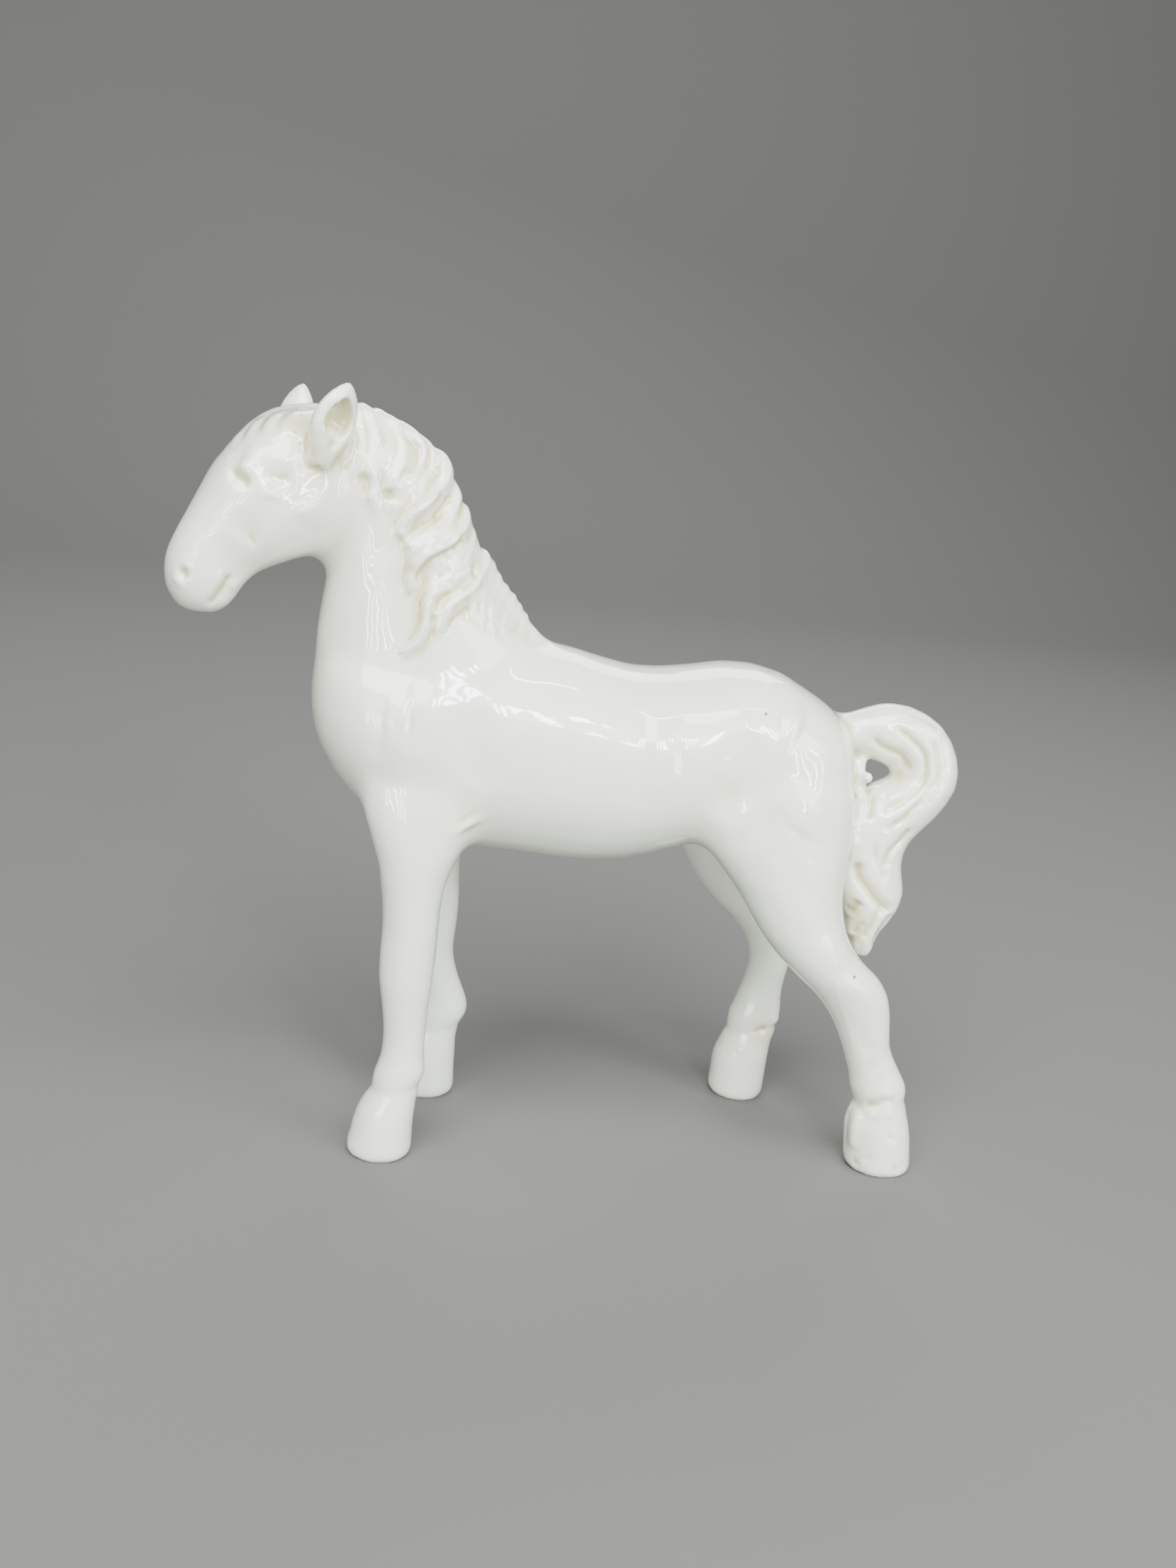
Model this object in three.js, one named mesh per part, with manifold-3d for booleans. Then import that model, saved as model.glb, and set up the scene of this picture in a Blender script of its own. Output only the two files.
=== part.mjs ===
// Glazed porcelain horse figure, walking, with its head turned a little to its left.
// It is put together the way such figures are made: a hollow slip-cast body, and a head,
// legs, tail and ears cast on their own and luted on with thin layers of slip.
// Millimetres, +Z up. The nose points to -X and the horse's left side is -Y.

import * as THREE from 'three';
import { mergeVertices } from 'three/addons/utils/BufferGeometryUtils.js';
import Module from 'manifold-3d';

const wasm = await Module();
wasm.setup();

// Trunk
const trunkLength = 55.2; // chest to buttock
const trunkDepth = 21.5; // belly to back
const trunkWidth = 19.4;
const bellyHeight = 30.2; // ground to belly
const trunkSquareShare = 0.06;

// Hollow of the casting
const wall = 2.4;
const ventBore = 2.2; // drying hole in the belly
const trunkRoomShares = [0.17, 0.85]; // how far it reaches along the stations of the trunk
const neckRoomShares = [0, 0.85]; // and of the neck

// Neck
const neckLength = 30.2; // withers to poll
const neckWidth = 16;

// Head
const headLength = 25; // poll to muzzle
const headWidth = 10.4;
const headTurn = THREE.MathUtils.degToRad(20);
const headSquareShare = 0.16;

// Ears
const earLength = 7;
const earWidth = 4.7;
const earDepth = 2.6;
const earWall = 0.8;
const earGap = 9.6; // between the two roots
const leftEarRise = 1.9; // of its root above the head's root
const rightEarRise = 0.9;
const earCupRise = 3.1; // of the bottom of the cup above the head's root
const earLean = THREE.MathUtils.degToRad(15); // back
const earSplay = THREE.MathUtils.degToRad(11); // outwards
const leftEarFacing = THREE.MathUtils.degToRad(14); // opening turned forwards
const rightEarFacing = THREE.MathUtils.degToRad(38);

// Legs
const legStub = 3; // how far the thighs and shoulders of the body casting reach below the belly
const foreLegWidth = 8.6;
const hindLegWidth = 9.6;
const foreStance = 14; // between the two fore hooves
const hindStance = 16.6;

// Tail
const tailLength = 28;
const tailWidth = 6.8;
const tailSwing = 5; // how far its tip lies to the left of the middle
const tailNeckWidth = 4.4; // of the neck of clay between its bend and the near thigh

// Mane
const maneThickness = 1.5;
const maneGroove = 0.55; // between two locks
const maneEdge = 0.4;
const maneLocks = 6;
const maneTurn = THREE.MathUtils.degToRad(17); // over the crest to the right
const maneSweep = THREE.MathUtils.degToRad(101); // down the left side
const maneScallop = THREE.MathUtils.degToRad(7); // how far each lock hangs lower

// Joints
const slipLayer = 0.5; // the luting slip between two castings
const slipGap = 0.3; // clearance where curved faces meet

// Fineness of the surfaces
const trunkSteps = 24;
const neckSteps = 14;
const hollowSteps = 12;
const headSteps = 20;
const legSteps = 22;
const tailSteps = 28;
const earSteps = 9;
const maneSteps = 48;
const bodySides = 28;
const hollowSides = 14;
const headSides = 22;
const legSides = 16;
const tailSides = 18;
const earSides = 12;
const patchSides = 8;
const boreSides = 12;

// Places that the pieces share, with the shares that set them
const neckRootShares = [0.22, 0.728]; // along the trunk, up its depth
const headRootShares = [-0.371, 0.673]; // of neckLength from the neck's root
const tailRootShares = [0.988, 0.75]; // along the trunk, up its depth
const foreLegShare = 0.2; // along the trunk
const hindLegShare = 0.86;
const neckJointShare = 0.35; // of neckLength above the neck's root
const earRootShare = -0.14; // of headLength from the head's root
const tailDockShare = 0.2; // of tailLength below its root, the dock is luted above it
const tailBendShares = [0.3, 0.62]; // and the bend between these two
const tailNeckShare = 0.59; // along the tail, where the neck of clay leaves it
const thighNeckShare = 0.24; // along the near hind leg, where it ends
const chestPlace = -trunkLength / 2;
const neckRoot = new THREE.Vector2(
  chestPlace + neckRootShares[0] * trunkLength,
  bellyHeight + neckRootShares[1] * trunkDepth,
);
const headRoot = new THREE.Vector2(
  neckRoot.x + headRootShares[0] * neckLength,
  neckRoot.y + headRootShares[1] * neckLength,
);
const tailRoot = new THREE.Vector2(
  chestPlace + tailRootShares[0] * trunkLength,
  bellyHeight + tailRootShares[1] * trunkDepth,
);
const foreLegPlace = chestPlace + foreLegShare * trunkLength;
const hindLegPlace = chestPlace + hindLegShare * trunkLength;
const legJointHeight = bellyHeight - legStub;
const neckJointHeight = neckRoot.y + neckJointShare * neckLength;
const [bendHigh, bendLow] = tailBendShares.map((share) => tailRoot.y - share * tailLength);
const reach = 4 * trunkLength; // larger than the figure, for cuts

// How the mane lies on the neck
const maneSpanShares = [0.1, 0.985]; // from the withers to the poll
const maneWithersShare = 0.68; // of the sweep that is left at the withers
const maneSlantShare = 0.35; // of a lock, from its root to its tip
const maneBowShare = 0.05; // how far the locks sag towards the withers
const maneRimShare = 0.16; // where its thickness falls off at the sides
const maneEndShare = 0.08; // and at both ends

// Trunk stations: place along, back and belly height, width
// in shares of trunkLength, trunkDepth above the belly, and trunkWidth
const trunkShares = [
  [0.003, 0.8, 0.68, 0.12],
  [0.012, 0.9, 0.55, 0.34],
  [0.035, 0.98, 0.42, 0.58],
  [0.085, 1.02, 0.25, 0.82],
  [0.165, 1.04, 0.1, 0.93],
  [0.255, 1.04, 0.05, 0.97],
  [0.36, 1.03, 0.03, 0.97],
  [0.47, 0.99, 0.005, 0.98],
  [0.56, 0.935, 0.01, 1],
  [0.65, 0.94, 0.07, 1],
  [0.74, 0.985, 0.15, 1],
  [0.83, 0.975, 0.19, 1],
  [0.91, 0.88, 0.22, 0.93],
  [0.965, 0.79, 0.3, 0.74],
  [0.99, 0.7, 0.4, 0.42],
  [0.998, 0.63, 0.48, 0.14],
];

// Neck stations: crest x and z, throat x and z in shares of neckLength from neckRoot, and the
// share of neckWidth
const neckShares = [
  [0.509, 0.083, 0.089, -0.383, 0.81],
  [0.365, 0.177, -0.238, -0.25, 0.95],
  [0.252, 0.253, -0.365, -0.083, 0.91],
  [0.152, 0.36, -0.395, 0.097, 0.79],
  [0.062, 0.49, -0.388, 0.263, 0.68],
  [-0.031, 0.64, -0.375, 0.37, 0.6],
  [-0.138, 0.77, -0.378, 0.427, 0.56],
  [-0.245, 0.833, -0.411, 0.463, 0.54],
  [-0.358, 0.857, -0.465, 0.483, 0.51],
];

// Head stations: forehead x and z, jaw x and z in shares of headLength from headRoot, and the
// share of headWidth
const headShares = [
  [0.056, 0.22, 0.024, -0.236, 0.75],
  [-0.048, 0.232, -0.02, -0.292, 0.87],
  [-0.176, 0.22, -0.084, -0.308, 0.94],
  [-0.288, 0.176, -0.144, -0.32, 0.98],
  [-0.376, 0.1, -0.2, -0.34, 0.98],
  [-0.444, 0.016, -0.248, -0.356, 0.92],
  [-0.492, -0.072, -0.288, -0.376, 0.81],
  [-0.536, -0.156, -0.316, -0.396, 0.69],
  [-0.576, -0.232, -0.336, -0.424, 0.63],
  [-0.608, -0.308, -0.36, -0.464, 0.62],
  [-0.618, -0.38, -0.392, -0.504, 0.57],
  [-0.604, -0.456, -0.436, -0.528, 0.44],
  [-0.564, -0.512, -0.488, -0.532, 0.21],
];

// Tail stations: outer x and z, inner x and z in shares of tailLength from tailRoot, and the
// share of tailWidth
const tailShares = [
  [-0.066, 0.01, -0.037, -0.133, 0.59],
  [0.011, 0.045, 0.036, -0.119, 0.68],
  [0.112, 0.08, 0.094, -0.127, 0.76],
  [0.224, 0.082, 0.16, -0.145, 0.85],
  [0.347, 0.025, 0.204, -0.166, 0.91],
  [0.42, -0.082, 0.209, -0.181, 0.97],
  [0.432, -0.202, 0.153, -0.202, 1],
  [0.366, -0.318, 0.066, -0.237, 0.97],
  [0.281, -0.409, -0.016, -0.326, 0.93],
  [0.258, -0.499, -0.044, -0.454, 0.9],
  [0.28, -0.6, -0.016, -0.569, 0.86],
  [0.257, -0.682, 0.049, -0.679, 0.75],
  [0.205, -0.764, 0.087, -0.733, 0.55],
  [0.178, -0.832, 0.128, -0.818, 0.32],
  [0.15, -0.862, 0.143, -0.851, 0.1],
];

// Leg stations: height, front and rear edge in shares of bellyHeight from the leg's place, the
// share of the leg's width, and how far out from the middle in shares of half the stance
const leftForeLegShares = [
  [1.56, -0.06, 0.12, 0.5, 0.78],
  [1.4, -0.14, 0.19, 0.7, 0.82],
  [1.26, -0.19, 0.22, 0.84, 0.8],
  [1.15, -0.172, 0.19, 0.9, 0.82],
  [1.04, -0.128, 0.135, 0.9, 0.87],
  [0.93, -0.104, 0.1, 0.8, 0.92],
  [0.82, -0.09, 0.095, 0.72, 0.96],
  [0.72, -0.09, 0.095, 0.68, 0.98],
  [0.63, -0.088, 0.092, 0.64, 1],
  [0.53, -0.07, 0.087, 0.56, 1],
  [0.42, -0.055, 0.085, 0.5, 1],
  [0.33, -0.06, 0.09, 0.53, 1],
  [0.26, -0.08, 0.092, 0.58, 1],
  [0.2, -0.095, 0.07, 0.58, 1],
  [0.15, -0.12, 0.07, 0.68, 1],
  [0, -0.15, 0.075, 0.76, 1],
];
const rightForeLegShares = [
  [1.56, -0.06, 0.14, 0.5, 0.78],
  [1.4, -0.14, 0.21, 0.7, 0.82],
  [1.26, -0.17, 0.25, 0.84, 0.8],
  [1.15, -0.12, 0.24, 0.9, 0.82],
  [1.04, -0.05, 0.22, 0.9, 0.87],
  [0.93, -0.01, 0.2, 0.8, 0.92],
  [0.82, 0.02, 0.205, 0.72, 0.96],
  [0.72, 0.03, 0.213, 0.68, 0.98],
  [0.63, 0.03, 0.212, 0.64, 1],
  [0.53, 0.055, 0.21, 0.56, 1],
  [0.44, 0.085, 0.24, 0.5, 1],
  [0.36, 0.1, 0.275, 0.53, 1],
  [0.29, 0.095, 0.275, 0.58, 1],
  [0.22, 0.075, 0.245, 0.58, 1],
  [0.16, 0.06, 0.25, 0.68, 1],
  [0, 0.035, 0.262, 0.76, 1],
];
const leftHindLegShares = [
  [1.58, -0.16, 0.04, 0.4, 0.62],
  [1.47, -0.24, 0.14, 0.68, 0.68],
  [1.35, -0.31, 0.225, 0.86, 0.74],
  [1.22, -0.33, 0.243, 0.92, 0.76],
  [1.1, -0.236, 0.236, 0.9, 0.8],
  [1, -0.146, 0.229, 0.84, 0.85],
  [0.9, -0.076, 0.248, 0.77, 0.9],
  [0.8, 0.001, 0.294, 0.69, 0.95],
  [0.71, 0.1, 0.4, 0.62, 1],
  [0.63, 0.192, 0.449, 0.56, 1],
  [0.54, 0.263, 0.466, 0.5, 1],
  [0.44, 0.313, 0.486, 0.45, 1],
  [0.34, 0.353, 0.553, 0.5, 1],
  [0.26, 0.379, 0.576, 0.55, 1],
  [0.2, 0.376, 0.582, 0.56, 1],
  [0.15, 0.371, 0.608, 0.64, 1],
  [0, 0.391, 0.634, 0.7, 1],
];
const rightHindLegShares = [
  [1.58, -0.16, 0.04, 0.4, 0.62],
  [1.47, -0.24, 0.14, 0.68, 0.68],
  [1.35, -0.31, 0.22, 0.86, 0.74],
  [1.22, -0.33, 0.22, 0.92, 0.76],
  [1.1, -0.3, 0.19, 0.9, 0.8],
  [1, -0.235, 0.16, 0.84, 0.85],
  [0.9, -0.17, 0.143, 0.77, 0.9],
  [0.8, -0.09, 0.163, 0.69, 0.95],
  [0.71, 0.012, 0.235, 0.62, 1],
  [0.63, 0.087, 0.275, 0.56, 1],
  [0.54, 0.118, 0.272, 0.5, 1],
  [0.44, 0.105, 0.26, 0.45, 1],
  [0.34, 0.077, 0.264, 0.5, 1],
  [0.27, 0.065, 0.262, 0.55, 1],
  [0.21, 0.055, 0.24, 0.56, 1],
  [0.15, 0.035, 0.244, 0.64, 1],
  [0, 0.03, 0.242, 0.7, 1],
];

// Ear stations: height in shares of earLength, width and depth in shares of earWidth, earDepth
const earShares = [
  [-0.1, 0.42, 0.8],
  [0.08, 0.62, 0.95],
  [0.25, 0.86, 1],
  [0.42, 1, 0.95],
  [0.6, 0.96, 0.82],
  [0.76, 0.76, 0.66],
  [0.9, 0.45, 0.45],
  [1, 0.08, 0.14],
];

const glaze = new THREE.MeshStandardMaterial({ color: '#eef0ea', roughness: 0.12, metalness: 0 });
const pooledGlaze = new THREE.MeshStandardMaterial({ color: '#e9e8dc', roughness: 0.14, metalness: 0 });
const slip = new THREE.MeshStandardMaterial({ color: '#dcd6c2', roughness: 0.4, metalness: 0 });

const figure = new THREE.Group();

// A closed geometry with its vertices merged becomes a solid that can be cut and joined
function solidFrom(geometry) {
  const bare = geometry.clone();
  bare.deleteAttribute('normal');
  bare.deleteAttribute('uv');
  const merged = mergeVertices(bare);
  return new wasm.Manifold(
    new wasm.Mesh({
      numProp: 3,
      vertProperties: new Float32Array(merged.attributes.position.array),
      triVerts: new Uint32Array(merged.index.array),
    }),
  );
}

// Works a joined or cut solid out at once, so that the next cut starts from a clean surface
function settled(solid) {
  solid.getMesh();
  return solid;
}

function addMesh(name, solid, material) {
  const { vertProperties, triVerts } = solid.getMesh();
  const geometry = new THREE.BufferGeometry();
  geometry.setAttribute('position', new THREE.BufferAttribute(vertProperties, 3));
  geometry.setIndex(new THREE.BufferAttribute(triVerts, 1));
  geometry.computeVertexNormals();
  const mesh = new THREE.Mesh(geometry, material);
  mesh.name = name;
  figure.add(mesh);
}

// Rings of points joined into one closed skin, with a fan over each end
function closedSkin(rings) {
  const count = rings[0].length;
  const points = rings.flat();
  const faces = [];
  for (let ring = 0; ring < rings.length - 1; ring += 1) {
    for (let side = 0; side < count; side += 1) {
      const here = ring * count + side;
      const next = ring * count + ((side + 1) % count);
      faces.push(here, next, here + count, next, next + count, here + count);
    }
  }
  for (const [ring, turned] of [[0, true], [rings.length - 1, false]]) {
    const middle = new THREE.Vector3();
    rings[ring].forEach((point) => middle.addScaledVector(point, 1 / count));
    const centre = points.push(middle) - 1;
    for (let side = 0; side < count; side += 1) {
      const here = ring * count + side;
      const next = ring * count + ((side + 1) % count);
      faces.push(...(turned ? [centre, next, here] : [centre, here, next]));
    }
  }
  const geometry = new THREE.BufferGeometry().setFromPoints(points);
  geometry.setIndex(faces);
  return geometry;
}

function curveThrough(points) {
  return new THREE.CatmullRomCurve3(points, false, 'catmullrom', 0.5);
}

// A form is lofted through stations that each have two opposite edge points in the side view,
// a half width and a place to the side
class Form {
  constructor(stations, steps, sides, squareShare = 0) {
    const edge = ([x, z], side) => new THREE.Vector3(x, side, z);
    this.firstEdge = curveThrough(stations.map(({ first, side }) => edge(first, side)));
    this.secondEdge = curveThrough(stations.map(({ second, side }) => edge(second, side)));
    this.breadth = curveThrough(stations.map(({ halfWidth }) => new THREE.Vector3(0, halfWidth, 0)));
    this.from = 0;
    this.to = 1;
    this.steps = steps;
    this.sides = sides;
    this.power = 1 - squareShare;
  }

  // A stretch of the same form, with fewer rings and sides
  stretch([from, to], steps, sides) {
    const form = Object.create(this);
    Object.assign(form, { from, to, steps, sides });
    return form;
  }

  alongAt(step) {
    return this.from + ((this.to - this.from) * step) / this.steps;
  }

  middle(along) {
    return this.firstEdge.getPoint(along).add(this.secondEdge.getPoint(along)).multiplyScalar(1 / 2);
  }

  // A point of the skin: around runs from the first edge over the right side, grow is outwards
  skin(along, around, grow = 0) {
    const middle = this.middle(along);
    const across = this.firstEdge.getPoint(along).sub(middle);
    const depth = Math.max(across.length() + grow, 0);
    const width = Math.max(this.breadth.getPoint(along).y + grow, 0);
    const [c, s] = [Math.cos(around), Math.sin(around)];
    across.setLength(depth * Math.sign(c) * Math.abs(c) ** this.power);
    const point = middle.add(across);
    point.y += width * Math.sign(s) * Math.abs(s) ** this.power;
    return point;
  }

  // The end rings of a grown form also move outwards along it
  geometry(grow = 0) {
    const rings = [];
    for (let step = 0; step <= this.steps; step += 1) {
      const ring = [];
      for (let side = 0; side < this.sides; side += 1) {
        ring.push(this.skin(this.alongAt(step), (2 * Math.PI * side) / this.sides, grow));
      }
      rings.push(ring);
    }
    for (const [ring, next] of [[0, 1], [this.steps, this.steps - 1]]) {
      const onwards = this.middle(this.alongAt(ring)).sub(this.middle(this.alongAt(next)));
      onwards.setLength(Math.max(grow, 0));
      rings[ring].forEach((point) => point.add(onwards));
    }
    const geometry = closedSkin(rings);
    const half = Math.floor(this.steps / 2);
    const centre = this.middle(this.alongAt(half));
    const outwards = rings[half][0].clone().sub(centre);
    const turn = rings[half][1].clone().sub(centre);
    const onwards = this.middle(this.alongAt(half + 1)).sub(centre);
    if (outwards.cross(turn).dot(onwards) < 0) {
      geometry.index.array.reverse();
    }
    return geometry;
  }

  solid(grow = 0, matrix = new THREE.Matrix4()) {
    return solidFrom(this.geometry(grow).applyMatrix4(matrix));
  }
}

function edgeStations(shares, root, length, width, side = () => 0) {
  return shares.map(([firstX, firstZ, secondX, secondZ, widthShare], index) => ({
    first: [root.x + firstX * length, root.y + firstZ * length],
    second: [root.x + secondX * length, root.y + secondZ * length],
    halfWidth: (widthShare * width) / 2,
    side: side(index / (shares.length - 1)),
  }));
}

function legForm(shares, place, width, sideways) {
  const stations = shares.map(([height, front, rear, widthShare, out]) => ({
    first: [place + front * bellyHeight, height * bellyHeight],
    second: [place + rear * bellyHeight, height * bellyHeight],
    halfWidth: (widthShare * width) / 2,
    side: out * sideways,
  }));
  return new Form(stations, legSteps, legSides);
}

const trunk = new Form(
  trunkShares.map(([along, back, belly, width]) => ({
    first: [chestPlace + along * trunkLength, bellyHeight + back * trunkDepth],
    second: [chestPlace + along * trunkLength, bellyHeight + belly * trunkDepth],
    halfWidth: (width * trunkWidth) / 2,
    side: 0,
  })),
  trunkSteps,
  bodySides,
  trunkSquareShare,
);
const neck = new Form(edgeStations(neckShares, neckRoot, neckLength, neckWidth), neckSteps, bodySides);
const head = new Form(
  edgeStations(headShares, headRoot, headLength, headWidth),
  headSteps,
  headSides,
  headSquareShare,
);
const tail = new Form(
  edgeStations(tailShares, tailRoot, tailLength, tailWidth, (along) => -tailSwing * along),
  tailSteps,
  tailSides,
);
const legs = [
  ['left_foreleg', legForm(leftForeLegShares, foreLegPlace, foreLegWidth, -foreStance / 2)],
  ['right_foreleg', legForm(rightForeLegShares, foreLegPlace, foreLegWidth, foreStance / 2)],
  ['left_hind_leg', legForm(leftHindLegShares, hindLegPlace, hindLegWidth, -hindStance / 2)],
  ['right_hind_leg', legForm(rightHindLegShares, hindLegPlace, hindLegWidth, hindStance / 2)],
];

// The head turns about an upright line through its root
const headMatrix = new THREE.Matrix4()
  .makeTranslation(headRoot.x, 0, 0)
  .multiply(new THREE.Matrix4().makeRotationZ(headTurn))
  .multiply(new THREE.Matrix4().makeTranslation(-headRoot.x, 0, 0));

// A block between two heights, wider than the figure
function layer(low, high) {
  const box = new THREE.BoxGeometry(reach, reach, high - low);
  return solidFrom(box.translate(0, 0, (low + high) / 2));
}

// What the tail, ears and mane rest on
function bodySkin(grow) {
  const barrel = settled(trunk.solid(grow).add(neck.solid(grow)));
  return legs.reduce((solid, [, leg]) => settled(solid.add(leg.solid(grow))), barrel);
}

function headSkin(grow) {
  return settled(head.solid(grow, headMatrix).add(neck.solid(grow)));
}

function hollow() {
  const trunkRoom = trunk.stretch(trunkRoomShares, hollowSteps, hollowSides).solid(-wall);
  const neckRoom = neck.stretch(neckRoomShares, hollowSteps, hollowSides).solid(-wall);
  return settled(trunkRoom.add(neckRoom));
}

function addBody() {
  const vent = new THREE.CylinderGeometry(ventBore / 2, ventBore / 2, trunkDepth, boreSides);
  vent.rotateX(Math.PI / 2).translate(0, 0, bellyHeight);
  const lowerNeck = settled(neck.solid().intersect(layer(0, neckJointHeight)));
  let outside = settled(trunk.solid().add(lowerNeck));
  for (const [, leg] of legs) {
    const thigh = settled(leg.solid().intersect(layer(legJointHeight + slipLayer, reach)));
    outside = settled(outside.add(thigh));
  }
  const shell = settled(outside.subtract(hollow()));
  addMesh('body_casting', shell.subtract(solidFrom(vent)), glaze);
}

function addHead() {
  const upperNeck = settled(neck.solid().intersect(layer(neckJointHeight + slipLayer, reach)));
  const outside = settled(head.solid(0, headMatrix).add(upperNeck));
  addMesh('head_casting', outside.subtract(hollow()), glaze);
  const joint = settled(neck.solid().intersect(layer(neckJointHeight, neckJointHeight + slipLayer)));
  addMesh('neck_slip', joint.subtract(hollow()), slip);
}

function addLegs() {
  for (const [name, leg] of legs) {
    addMesh(name, leg.solid().intersect(layer(-reach, legJointHeight)), glaze);
    const joint = leg.solid().intersect(layer(legJointHeight, legJointHeight + slipLayer));
    addMesh(`${name}_slip`, joint, slip);
  }
}

// A piece luted to a curved face: a thin collar of slip follows that face below the piece
function collar(solid, skinOf) {
  return settled(solid.subtract(skinOf(slipGap))).intersect(skinOf(slipGap + slipLayer));
}

function luted(solid, skinOf) {
  return solid.subtract(skinOf(2 * slipGap + slipLayer));
}

// A short neck of clay runs from inside the tail's bend into the near thigh
function tailNeck() {
  const [, thigh] = legs[2];
  const start = tail.middle(tailNeckShare);
  const run = thigh.middle(thighNeckShare).sub(start);
  const centre = start.addScaledVector(run, 1 / 2);
  const rod = new THREE.CylinderGeometry(tailNeckWidth / 2, tailNeckWidth / 2, run.length(), boreSides);
  const turn = new THREE.Quaternion().setFromUnitVectors(new THREE.Vector3(0, 1, 0), run.normalize());
  return solidFrom(rod.applyQuaternion(turn).translate(centre.x, centre.y, centre.z));
}

// The tail is luted to the croup at its dock and again to the thigh where it swings back
function addTail() {
  const solid = settled(tail.solid().add(tailNeck()));
  addMesh('tail', luted(solid, bodySkin), pooledGlaze);
  const seam = settled(collar(solid, bodySkin));
  const dockHeight = tailRoot.y - tailDockShare * tailLength;
  addMesh('tail_slip', seam.intersect(layer(dockHeight, reach)), slip);
  addMesh('tail_rest_slip', seam.intersect(layer(bendLow, bendHigh)), slip);
}

// A leaf that stands on its root, cupped from a floor upwards, with the opening towards -Y
function earForm(inset, low, high, side) {
  const stations = earShares.map(([height, width, depth]) => {
    const edge = Math.max((width * earWidth) / 2 - inset, 0);
    const level = low + height * (high - low);
    return { first: [-edge, level], second: [edge, level], halfWidth: (depth * earDepth) / 2, side };
  });
  return new Form(stations, earSteps, earSides);
}

function earSolid(rise, matrix) {
  const leaf = earForm(0, 0, earLength, 0);
  const cup = earForm(earWall, earCupRise - rise, earLength - earWall, earWall - earDepth / 2);
  return settled(leaf.solid(0, matrix).subtract(cup.solid(0, matrix)));
}

function earMatrix(sideways, rise, facing) {
  const across = (sideways * earGap) / 2;
  const root = new THREE.Vector3(headRoot.x + earRootShare * headLength, across, headRoot.y + rise);
  const turn = sideways > 0 ? Math.PI - facing : facing;
  const pose = new THREE.Euler(-sideways * earSplay, earLean, turn, 'XYZ');
  return headMatrix
    .clone()
    .multiply(new THREE.Matrix4().makeTranslation(root))
    .multiply(new THREE.Matrix4().makeRotationFromEuler(pose));
}

function addEar(name, rise, pose) {
  const solid = earSolid(rise, pose);
  addMesh(`${name}_slip`, collar(solid, headSkin), slip);
  addMesh(name, luted(solid, headSkin), glaze);
}

// Each lock of the mane is a ridge that slants and sags from the crest down to its tip
function lockAt(share, across) {
  return Math.cos(2 * Math.PI * (maneLocks * share + maneSlantShare * across));
}

function maneThicknessAt(share, across) {
  const sides = Math.min(across, 1 - across) / maneRimShare;
  const ends = Math.min(share, 1 - share) / maneEndShare;
  const full = maneThickness - (maneGroove * (1 - lockAt(share, across))) / 2;
  return maneEdge + Math.min(1, sides, ends) * (full - maneEdge);
}

function maneRing(share) {
  const outside = [];
  const inside = [];
  for (let side = 0; side <= patchSides; side += 1) {
    const across = side / patchSides;
    const sweep = maneTurn + maneSweep * (maneWithersShare + (1 - maneWithersShare) * share);
    const around = maneTurn - across * (sweep + maneScallop * lockAt(share, 1));
    const sag = maneBowShare * across * Math.sin(Math.PI * share);
    const along = maneSpanShares[0] + share * (maneSpanShares[1] - maneSpanShares[0]) - sag;
    outside.unshift(neck.skin(along, around, slipGap + maneThicknessAt(share, across)));
    inside.push(neck.skin(along, around, slipGap));
  }
  return [...inside, ...outside];
}

function addMane(earPoses) {
  const rings = [];
  for (let step = 0; step <= maneSteps; step += 1) {
    rings.push(maneRing(step / maneSteps));
  }
  let hair = solidFrom(closedSkin(rings));
  const leaf = earForm(0, 0, earLength, 0);
  const earRooms = earPoses.map((pose) => leaf.solid(slipGap, pose));
  for (const room of [head.solid(slipGap, headMatrix), trunk.solid(slipGap), ...earRooms]) {
    hair = settled(hair.subtract(room));
  }
  addMesh('mane', hair, pooledGlaze);
}

addBody();
addHead();
addLegs();
addTail();
const leftEarPose = earMatrix(-1, leftEarRise, leftEarFacing);
const rightEarPose = earMatrix(1, rightEarRise, rightEarFacing);
addEar('left_ear', leftEarRise, leftEarPose);
addEar('right_ear', rightEarRise, rightEarPose);
addMane([leftEarPose, rightEarPose]);

// The figure stands on the ground with its box centred over the origin
const box = new THREE.Box3().setFromObject(figure);
figure.position.set(-(box.min.x + box.max.x) / 2, -(box.min.y + box.max.y) / 2, -box.min.z);

export default figure;
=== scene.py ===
import math
import time

import bpy
import numpy as np
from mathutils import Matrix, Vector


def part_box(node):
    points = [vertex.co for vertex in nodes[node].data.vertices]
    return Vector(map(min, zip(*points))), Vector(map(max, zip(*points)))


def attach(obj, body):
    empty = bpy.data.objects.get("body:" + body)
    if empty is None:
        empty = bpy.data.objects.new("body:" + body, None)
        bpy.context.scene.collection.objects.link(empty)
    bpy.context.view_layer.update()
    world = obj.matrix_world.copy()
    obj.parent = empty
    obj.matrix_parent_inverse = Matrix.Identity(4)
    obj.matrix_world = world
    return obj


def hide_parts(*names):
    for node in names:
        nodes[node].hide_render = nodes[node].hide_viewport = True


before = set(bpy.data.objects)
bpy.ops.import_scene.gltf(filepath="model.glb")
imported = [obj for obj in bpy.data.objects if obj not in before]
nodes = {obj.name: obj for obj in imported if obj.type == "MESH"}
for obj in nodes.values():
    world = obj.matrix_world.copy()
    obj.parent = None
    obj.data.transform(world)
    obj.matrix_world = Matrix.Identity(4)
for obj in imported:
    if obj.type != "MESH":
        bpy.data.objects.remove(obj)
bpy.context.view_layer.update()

import openvdb
from mathutils import Matrix, Vector
from mathutils.bvhtree import BVHTree
from mathutils.kdtree import KDTree

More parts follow.
